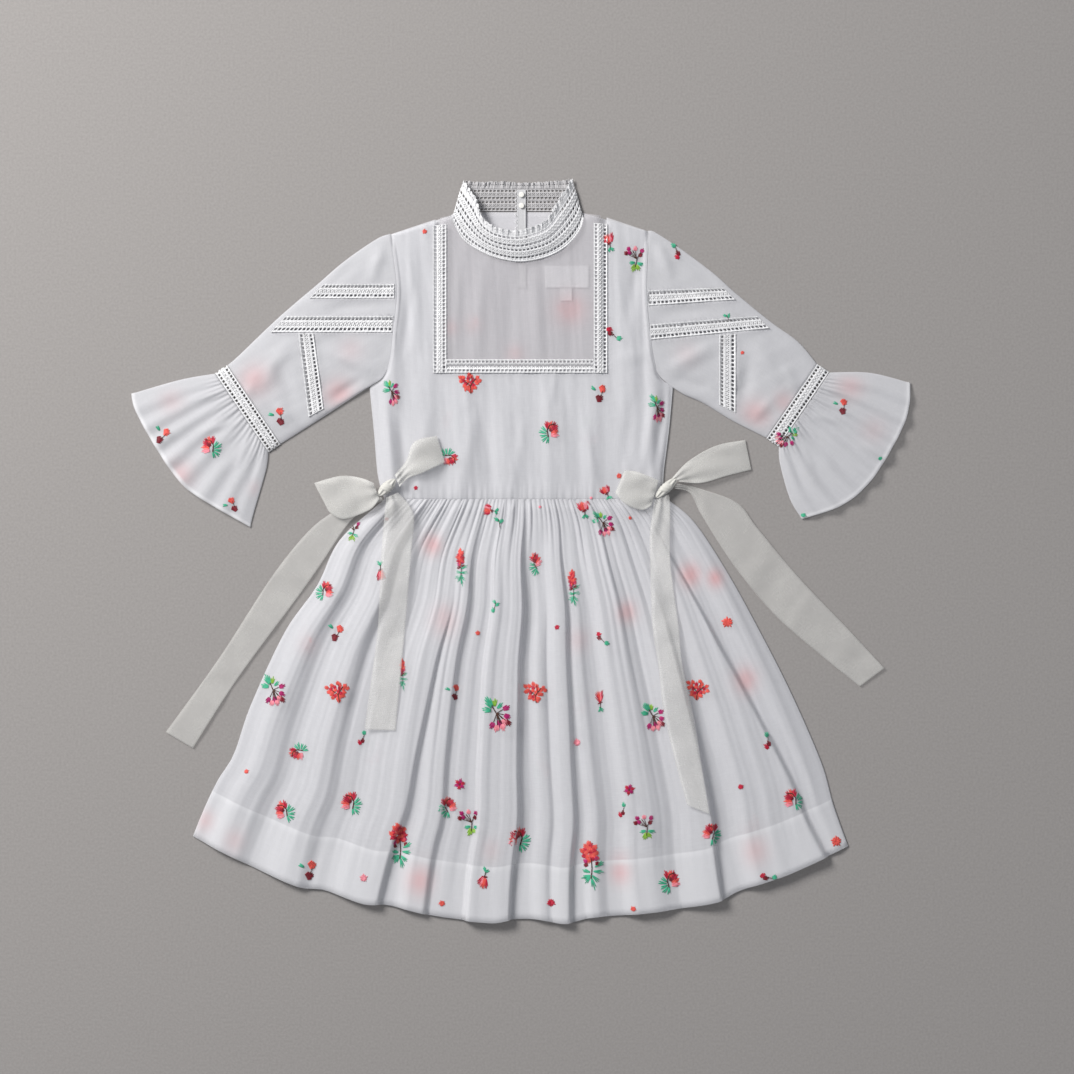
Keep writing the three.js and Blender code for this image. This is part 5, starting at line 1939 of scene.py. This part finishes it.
@dataclass
class Needle:
    """Draws one sprig at a place, turned and sized, into the rows; a size below zero mirrors it."""

    rows: dict[Thread, list[tuple[float, ...]]]  # of every sprig so far, by colour
    x: float
    y: float
    turn: float = 0.0
    size: float = 1.0
    seed: int = 0
    squeeze: float = 1.0  # how far gathers narrow it sideways
    under: bool = False  # whether it is on the back, which faces down

    def __post_init__(self) -> None:
        """Starts this sprig's own small unevenness."""
        self.rng = np.random.default_rng(self.seed)

    def put(self, thread: Thread, x: float, y: float, turn: float, length: float, width: float,
            over: float = 0.0) -> None:
        """Adds one stitch in the sprig's own frame.

        Args:
            thread: Its colour.
            x: Its middle.
            y: Its middle.
            turn: Its turn in radians.
            length: Its length.
            width: Its width.
            over: How far it lies above the stitches below it.
        """
        if self.size < 0:
            x, turn = -x, np.pi - turn
        size = abs(self.size)
        c, s = np.cos(self.turn), np.sin(self.turn)
        self.rows.setdefault(thread, []).append((
            self.x + (x * c - y * s) * size * self.squeeze, self.y + (x * s + y * c) * size, turn + self.turn,
            length * size, width * size * self.squeeze ** 0.5, -1.0 if self.under else over))

    def petal(self, thread: Thread, x: float, y: float, turn: float, length: float, width: float) -> None:
        """A petal or leaf of stitches side by side, with its foot at a place.

        Args:
            thread: Its colour.
            x: Its foot.
            y: Its foot.
            turn: The way that it points, in radians.
            length: Its length.
            width: Its width.
        """
        count = max(2, round(width / 0.85))
        for k in range(count):
            side = (k + 0.5) / count * 2 - 1
            reach = length * (1 - 0.45 * side * side) * self.rng.uniform(0.88, 1.08)
            lean = turn + side * 0.28
            away = side * width / 2
            cx = x + np.cos(turn) * reach / 2 - np.sin(turn) * away
            cy = y + np.sin(turn) * reach / 2 + np.cos(turn) * away
            self.put(thread, cx, cy, lean, reach, width / count * 1.35)

    def petals(self, *rows: tuple[Thread, float, float, float, float, float]) -> None:
        """Several petals, each given as for one."""
        for row in rows:
            self.petal(*row)

    def stem(self, thread: Thread, *places: Pair, width: float = 0.75) -> None:
        """A stem of short stitches end to end.

        Args:
            thread: Its colour.
            places: What it runs through.
            width: Its width.
        """
        for (x0, y0), (x1, y1) in zip(places, places[1:]):
            length = float(np.hypot(x1 - x0, y1 - y0))
            count = max(1, round(length / 2.6))
            for k in range(count):
                t = (k + 0.5) / count
                self.put(thread, x0 + (x1 - x0) * t, y0 + (y1 - y0) * t, float(np.arctan2(y1 - y0, x1 - x0)),
                         length / count * 1.25, width, 0.4)

    def draw(self, kind: Sprig) -> None:
        """Draws a motif at its own scale.

        Args:
            kind: Which motif.
        """
        method, scale = kind.value
        self.size *= scale
        getattr(self, method)()

    def head(self, centre: Pair, wide: float, tall: float, threads: tuple[Thread, ...], count: int,
             taper: float = 0.0) -> None:
        """A dense head of small petals that point away from its middle.

        Args:
            centre: Its middle.
            wide: Its half width.
            tall: Its half height.
            threads: Petal colours, from the middle outwards.
            count: Petals.
            taper: How much narrower it is at its foot.
        """
        for k in range(count):
            ring_at = np.sqrt((k + 0.5) / count)
            angle = 2.4 * k + self.rng.uniform(-0.15, 0.15)
            y = ring_at * np.sin(angle)
            x = ring_at * np.cos(angle) * (1 + taper * y)
            shade = int(ring_at * len(threads) + self.rng.uniform(-0.45, 0.45))
            thread = threads[min(shade, len(threads) - 1)]
            turn = float(np.arctan2(y * tall + 2, x * wide)) + self.rng.uniform(-0.4, 0.4)
            foot = centre[0] + x * wide - np.cos(turn) * 2, centre[1] + y * tall - np.sin(turn) * 2
            self.petal(thread, *foot, turn, 4.8, 3.2)

    def cluster(self) -> None:
        """Coral petals at the ends of forked brown stems, in a fan."""
        self.head((0, 1), 9.5, 8.5, (CRIMSON, CORAL, CRIMSON, CORAL, CORAL), 24, 0.45)
        self.stem(BROWN, (1, -9), (0.5, -2), (5.5, 5), width=0.9)
        self.stem(BROWN, (0.5, -2), (-5, 2.5), width=0.85)
        self.stem(MAROON, (2.5, 1), (1.5, 7.5), width=0.85)

    def hanging(self) -> None:
        """Green leaves above and buds that hang from thin stems."""
        self.petals((MINT, -2.5, 4.5, 2.1, 9.5, 4.2), (MINT, -3.5, 2.5, 2.9, 7.5, 3.4),
                    (LIME, -1.2, 5, 1.4, 6, 2.8), (MINT, 0.5, 3.5, 0.7, 5.5, 2.2))
        self.stem(BROWN, (-3, 6), (-0.5, 0.5), (1.5, -6.5), width=0.9)
        for x, y, turn, thread in ((6, -1.5, -0.6, MAGENTA), (7, -6.5, -0.9, MAROON),
                                   (3.4, -9, -1.4, PINK), (-0.6, -9.5, -1.8, PINK),
                                   (-3.6, -7, -2.1, MAGENTA), (1.2, -5.5, -1.5, MAGENTA),
                                   (5.5, 3.2, 0.3, MAGENTA), (4.6, -5, -1.1, PINK)):
            self.stem(BROWN, (0, 0.5), (x * 0.8, y * 0.8), width=0.6)
            self.petal(thread, x * 0.8, y * 0.8, turn, 5.6, 3.4)

    def bloom(self) -> None:
        """A head of coral berries with dark buds below it, over thin spread leaves."""
        for x, y, turn, length in ((2.5, -2, 0.5, 9), (1.5, -5, -0.1, 9), (0.5, -8, -0.75, 8.5),
                                   (0, -8, 3.5, 8.5), (-0.5, -6, 2.85, 7), (0, -9, -1.3, 11),
                                   (-0.5, -9, -2.2, 7.5)):
            self.petal(MINT, x, y, turn, length, 2.3)
        self.head((-1, 9.5), 6.0, 7.0, (CRIMSON, CORAL, CORAL, CRIMSON, CORAL), 20, -0.15)
        for x, y, turn, thread in ((-2.5, 1.5, 2.6, MAGENTA), (-2.0, 0.2, 3.4, MAROON),
                                   (2.6, 3.2, 0.9, MAGENTA), (3.0, 0.6, 0.1, MAROON)):
            self.petal(thread, x, y, turn, 4.6, 3.0)
        self.stem(BROWN, (0, -11), (0.6, -3), (0, 5), width=0.8)

    def rosebud(self) -> None:
        """A closed bud with a brown cup and a pair of leaves."""
        for x, turn, thread in ((-2.6, 1.85, CRIMSON), (0, 1.57, CORAL), (2.6, 1.3, CRIMSON),
                                (-1.2, 1.65, CORAL), (1.4, 1.45, PINK)):
            self.petal(thread, x, -1.5, turn, 8.5, 3.0)
        self.petal(MAROON, -2.5, -2.5, 0.35, 5.2, 1.6)
        self.stem(BROWN, (0, -2), (-0.5, -6))
        self.petals((MINT, -0.5, -5, -0.9, 5.5, 2.4), (MINT, -0.5, -5, -2.2, 4.6, 2.0))

    def tulip(self) -> None:
        """A side-on open bud with feathery leaves beside it."""
        for x, y, turn, thread in ((-1.6, -2.4, 2.75, CORAL), (-2, -0.6, 2.35, CRIMSON),
                                   (-1.6, 0.6, 2.05, CRIMSON), (-0.6, 1.2, 1.75, CORAL),
                                   (0.6, 1.2, 1.35, CRIMSON), (-1.2, -3.6, 3.1, PINK),
                                   (-0.6, -0.8, 2.2, MAROON)):
            self.petal(thread, x, y, turn, 7.4, 3.4)
        self.stem(BROWN, (-4.5, 5.5), (-0.5, 4.5), (1.6, 0.5), (0.6, -5), width=0.95)
        for x, y, turn, length in ((1.6, -1.2, 0.8, 7.2), (1.6, -2.2, 0.3, 8.2), (1.3, -3.2, -0.25, 7.2),
                                   (1.0, -4.2, -0.75, 7.6), (0.5, -4.6, -1.4, 6.4)):
            self.petal(MINT, x, y, turn, length, 1.7)

    def spray(self) -> None:
        """Small dark buds on thin stems over light leaves."""
        self.stem(BROWN, (1, -7), (1.5, 0), (-3, 6))
        for x, y, thread in ((-6.5, 7, MAGENTA), (-4.5, 3.5, MAGENTA), (-1, 7.5, PINK),
                             (4.5, 7, MAGENTA), (-7.5, 3, MAROON), (3.2, 3, MAROON)):
            self.stem(BROWN, (1.2, 0), (x * 0.8, y * 0.8), width=0.5)
            self.petal(thread, x * 0.8, y * 0.8, float(np.arctan2(y, x)), 4.2, 3.0)
        self.petals((LIME, 1, -4.5, -1.9, 6.5, 3.4), (LIME, 1.5, -4.5, -0.9, 6, 2.6),
                    (MINT, 2, -3, -0.2, 6.5, 2.4), (MINT, 0.5, -3, 3.4, 5.5, 2.2))

    def pair(self) -> None:
        """Two round berries with a small leaf."""
        for x, y, thread in ((2.6, 2.6, CORAL), (-1.0, -3.4, MAROON)):
            self.petal(thread, x - 2.6, y, 0.15, 5.4, 4.8)
        self.stem(BROWN, (2.4, 2), (-0.5, -2.6), width=0.5)
        self.petal(MINT, -2.5, 3, 2.3, 4.6, 1.8)

    def bud_leaf(self) -> None:
        """A dark bud with one small leaf."""
        self.petals((CRIMSON, -4, 2.5, 0.0, 6.0, 3.2), (MAROON, -2.8, 0.6, -0.5, 5.6, 3.4))
        self.stem(BROWN, (0, 0), (4, -4), width=0.6)
        self.petal(MINT, 4, -4, -0.2, 5, 3.4)

    def dot(self) -> None:
        """A small round berry."""
        thread = (CORAL, CRIMSON, CORAL, PINK)[self.seed % 4]
        for k in range(5):
            turn = 0.4 + k * 2 * np.pi / 5
            self.petal(thread, -0.6 * np.cos(turn), -0.6 * np.sin(turn), turn, 3.4, 2.2)

    def green_dot(self) -> None:
        """A small leaf by itself."""
        self.petal(MINT, -2.8, 0, 0.3, 6.2, 3.4)

    def star(self) -> None:
        """A small open flower."""
        for k in range(6):
            turn = k * np.pi / 3 + 0.3
            self.petal(MAGENTA if k % 2 else CRIMSON, 0.6 * np.cos(turn), 0.6 * np.sin(turn), turn,
                       4.6, 2.4)
        self.petal(MAROON, -1.0, 0, 0, 2.2, 2)

    def leaf(self) -> None:
        """Two small leaves on a thin stem."""
        self.stem(BROWN, (0, -4), (0.5, 3), width=0.5)
        self.petals((MINT, 0.5, 1.5, 2.4, 5.2, 2.4), (MINT, 0.3, -0.5, 0.7, 5.4, 2.4))


@dataclass
class Embroidery:
    """Scattered sprigs in satin stitch, sewn on the cloth that is laid below each one."""

    front: dict[Sprig, Spots] = field(default_factory=lambda: {
        Sprig.DOT: ((-96, 318, 0, .8), (-105, 62, 0, .7), (98, 74, 0, .9), (70, 52, 0, .5),
            (221, 197, 0, .6), (-134, 31, 0, .6), (109, 32, 0, .6), (19, 43, 0, .5), (-43, -83, 1.2, .8),
            (36, -77, 1.3, .8), (206, -72, 0, 1.7), (56, -192, 1.4, 1.2), (-274, -221, 0, .8),
            (219, -236, 0, .9), (315, -291, 0, 1.6), (-157, -327, 1.2, 1.2), (-79, -353, .4, 1.0),
            (30, -352, .5, 1.3), (112, -358, .5, .9), (219, -343, 0, .9)),
        Sprig.ROSEBUD: ((88, 308, .3, .95), (85, 58, .5, .75), (-140, -22, 3.3, 1.0), (-31, 40, 1.4, .8),
            (63, 41, .2, .9), (79, -150, .2, 1.1), (-37, -328, 2.8, 1.1)),
        Sprig.SPRAY: ((114, 291, -.15, 1.0), (-168, 20, -.3, .9), (-51, -272, 0, 1.05),
            (124, -276, 0, 1.0)),
        Sprig.BUD_LEAF: ((156, 296, 2.6, .9), (90, 217, 0, 1.0), (79, -87, -.1, .9),
            (-159, -190, 1.9, .8), (246, -193, 2.3, .9), (101, -262, 2.0, .8), (244, -326, .6, .9)),
        Sprig.CLUSTER: ((-51, 166, 0, .92), (14, -143, 0, .95), (-183, -142, .1, .95),
            (176, -140, -.2, .95)),
        Sprig.PAIR: ((79, 156, .2, 1.0), (-241, 133, .6, 1.0), (-358, 114, -.2, 1.0), (-288, 45, .9, .85),
            (321, 143, .4, .9), (-184, -83, 0, 1.0), (-66, -142, .4, .9), (-211, -320, .3, 1.1)),
        Sprig.HANGING: ((-129, 158, .3, .95), (136, 142, .1, .95), (266, 113, -1.4, .85),
            (82, 27, .2, .9), (-247, -140, 0, 1.05), (-24, -163, .1, 1.2), (132, -166, .1, 1.0)),
        Sprig.TULIP: ((28, 119, 0, -1.0), (-71, 93, -1.73, -.85), (-309, 104, .1, 1.0),
            (-196, -40, -.2, -.9), (14, -13, .6, -1.0), (-223, -201, 1.6, .85), (-236, -260, .3, 1.0),
            (-169, -252, 0, 1.05), (-74, -256, .3, -.95), (-1, -288, -.1, 1.1), (272, -248, .2, 1.0),
            (191, -282, -.2, 1.0), (148, -330, .1, -1.05)),
        Sprig.LEAF: ((206, 232, .5, .7), (-22, 27, .2, .9), (-26, -55, -.2, .8)),
        Sprig.GREEN_DOT: ((359, 91, .6, .7), (282, 34, -.4, .8), (-27, -60, 1.2, .8)),
        Sprig.BLOOM: ((-60, -17, 0, .95), (52, -38, .1, .95), (-118, -124, 0, .8), (-121, -295, 0, 1.15),
            (70, -314, 0, 1.2)),
        Sprig.STAR: ((-61, -234, 0, 1.0), (108, -239, 0, 1.0)),
    })
    back: dict[Sprig, Spots] = field(default_factory=lambda: {
        Sprig.CLUSTER: ((49, 240, .2, 1.0), (169, -25, 0, 1.0), (224, -130, .1, .95),
            (-101, -330, 0, 1.0), (99, -322, 0, .9)),
        Sprig.PAIR: ((-48, 225, 0, 1.0), (-212, -95, .4, 1.0)),
        Sprig.TULIP: ((-70, 130, .3, 1.0), (-89, 5, .2, -1.0), (106, -62, 0, 1.0), (-286, -280, .2, 1.0),
            (20, -220, 0, -1.0)),
        Sprig.HANGING: ((70, 120, 0, 1.0), (58, -150, 0, 1.0), (-150, -200, .2, 1.0)),
        Sprig.BLOOM: ((-76, -70, 0, .9), (234, -280, 0, .8)),
        Sprig.SPRAY: ((-30, -300, 0, 1.0),),
    })
    narrowed: dict[Pair, float] = field(default_factory=lambda: {
        (-60, -17): .5, (52, -38): .5, (14, -13): .5, (-129, 158): .62, (136, 142): .65, (88, 308): .8,
        (79, -150): .4, (-118, -124): .35, (-37, -328): .6, (-168, 20): .75, (-140, -22): .55
    })

    def build(self, bed: Bed) -> None:
        """Sews every sprig and dresses one piece for each thread colour.

        Args:
            bed: What the sprigs are sewn on.
        """
        rows = {}
        for sprigs, under in ((self.front, False), (self.back, True)):
            for kind, placed in sprigs.items():
                for number, (x, y, turn, size) in enumerate(placed):
                    narrow = self.narrowed.get((x, y), 1.0)
                    Needle(rows, x, y, turn, size, number + 200 * under, narrow, under).draw(kind)
        tree, stitch = self.tree(), self.stitch()
        for thread, sewn in rows.items():
            piece = self.points(f"{thread.name.lower()}_stitches", np.array(sewn), bed)
            run_tree(piece, tree, {"Stitch": stitch, "Finish": thread.made()})
            piece.data.polygons.foreach_set("use_smooth", [True] * len(piece.data.polygons))
            dress(piece, thread, "organdy")
        bpy.data.objects.remove(stitch)

    def stitch(self) -> Piece:
        """One stitch a unit long and wide: a six-sided spindle, flatter than it is wide.

        Returns:
            The object.
        """
        form = bmesh.new()
        rings = []
        for x, radius in ((-0.38, 0.36), (0.0, 0.5), (0.38, 0.36)):
            angles = [k * np.pi / 3 for k in range(6)]
            rings.append([form.verts.new((x, radius * np.cos(a), 0.8 * radius * np.sin(a))) for a in angles])
        tips = form.verts.new((-0.5, 0, 0)), form.verts.new((0.5, 0, 0))
        for low, high in zip(rings, rings[1:]):
            for k in range(6):
                form.faces.new((low[k], low[(k + 1) % 6], high[(k + 1) % 6], high[k]))
        for k in range(6):
            form.faces.new((tips[0], rings[0][(k + 1) % 6], rings[0][k]))
            form.faces.new((tips[1], rings[2][k], rings[2][(k + 1) % 6]))
        bmesh.ops.recalc_face_normals(form, faces=form.faces[:])
        return piece_of("stitch", form)

    def points(self, name: str, rows: Grid, bed: Bed) -> Piece:
        """The points that stitches are set on, with their turns and sizes.

        Args:
            name: The piece's name.
            rows: Middle, turn, length and width of each stitch.
            bed: What they are sewn on.

        Returns:
            An object of bare points.
        """
        middle, turn, length, width = rows[:, :2], rows[:, 2], rows[:, 3], rows[:, 4]
        way = np.column_stack([np.cos(turn), np.sin(turn)]) * (length * 0.35)[:, None]
        ends = np.stack([middle - way, middle, middle + way])
        heights = bed.height(ends)
        under = rows[:, 5] < 0
        on_cloth = (heights[1] > 0.3) | under
        heights = np.where(heights < 0.3, heights[1], heights)
        pitch = np.where(under, 0, -np.arctan2(heights[2] - heights[0], 2 * length * 0.35))
        z = np.where(under, 0.2, heights.mean(0) + 0.12 + rows[:, 5])
        mesh = bpy.data.meshes.new(name)
        spots = np.column_stack([middle, z])[on_cloth] * MM
        mesh.from_pydata(spots.tolist(), [], [])
        for mark, values in (("turn", np.column_stack([0 * pitch, np.clip(pitch, -0.7, 0.7), turn])),
                             ("reach", np.column_stack([length, width, 0.8 * width]) * MM)):
            kept = values[on_cloth].astype(np.float32)
            mesh.attributes.new(mark, "FLOAT_VECTOR", "POINT").data.foreach_set("vector", kept.ravel())
        return piece_of(name, mesh)

    def tree(self) -> bpy.types.NodeTree:
        """The node tree that sets one stitch on each point.

        Returns:
            The tree, with inputs Points, Stitch and Finish.
        """
        nodes = Steps("satin_stitches", Points="Geometry", Stitch="Object", Finish="Material")
        turn, reach = (nodes.add("GeometryNodeInputNamedAttribute", {"data_type": "FLOAT_VECTOR"}, Name=mark)
                       .outputs["Attribute"] for mark in ("turn", "reach"))
        turned = nodes.add("FunctionNodeEulerToRotation", i0=turn).outputs[0]
        return nodes.end(nodes.copies("Stitch", nodes.given["Points"], Rotation=turned, Scale=reach))


@dataclass
class Studio:
    """The plain floor, the soft light and the camera straight above."""

    camera_at: tuple[float, float, float] = (0.016, 0.013, 3.0)
    view_width: float = 1.074  # metres of floor across the picture

    def build(self) -> None:
        """Sets up the floor, the lights and the camera."""
        self.floor()
        self.light("key", (-2.2, 1.9, 2.2), 1.3, 172, (1.0, 0.985, 0.965))
        self.light("fill", (1.5, -0.5, 1.7), 2.0, 5, (0.93, 0.96, 1.0))
        world = bpy.data.worlds.new("studio")
        world.use_nodes = True
        world.node_tree.nodes["Background"].inputs["Color"].default_value = (0.92, 0.95, 1.0, 1)
        world.node_tree.nodes["Background"].inputs["Strength"].default_value = 0.27
        bpy.context.scene.world = world
        data = bpy.data.cameras.new("above")
        data.sensor_width = 36
        data.lens = 36 * self.camera_at[2] / self.view_width
        camera = piece_of("above", data)
        camera.location = self.camera_at
        bpy.context.scene.camera = camera
        bpy.context.scene.view_settings.view_transform = "Standard"

    def floor(self) -> None:
        """A plain pale floor just below the dress."""
        mesh = bpy.data.meshes.new("floor")
        mesh.from_pydata([(-4, -4, 0), (4, -4, 0), (4, 4, 0), (-4, 4, 0)], [], [(0, 1, 2, 3)])
        floor = piece_of("floor", mesh)
        nodes = Nodes("pale_floor")
        where = nodes.add("TexCoord").outputs["Object"]
        fine = nodes.noise(where, (420, 420, 420), 3.0)
        base = nodes.between((0.27, 0.255, 0.248), (0.37, 0.352, 0.343), fine)
        mesh.materials.append(nodes.finish(fine, 0.4, 0.4, Base_Color=base, Roughness=0.9,
                                           Specular_IOR_Level=0.2))
        floor.location.z = -0.0002

    def light(self, name: str, at: Sequence[float], size: float, power: float, colour: Colour) -> None:
        """A square soft light that faces the dress.

        Args:
            name: Its name.
            at: Where it stands.
            size: Its side.
            power: Its power in watts.
            colour: Its colour.
        """
        data = bpy.data.lights.new(name, "AREA")
        data.size, data.energy, data.color = size, power, colour
        lamp = piece_of(name, data)
        lamp.location = at
        lamp.rotation_euler = (-Vector(at)).to_track_quat("-Z", "Y").to_euler()


def main() -> None:
    """Builds the dress, piece by piece, and the studio round it."""
    logging.basicConfig(level=logging.INFO, format="%(message)s")
    Studio().build()
    bed = Bed()
    maker = Lacemaker()
    bodice = Bodice()
    Skirt(bodice.height).build(bed)
    bodice.build(bed)
    for sleeve in SLEEVES:
        sleeve.build(bed)
    LaceTrim(maker).build(bed)
    Embroidery().build(bed)
    BackOpening().build(bed)
    Collar(maker).build(bed)
    for tie in TIES:
        tie.build(bed)
    bpy.data.objects.remove(maker.cell)


if __name__ == "__main__":
    main()
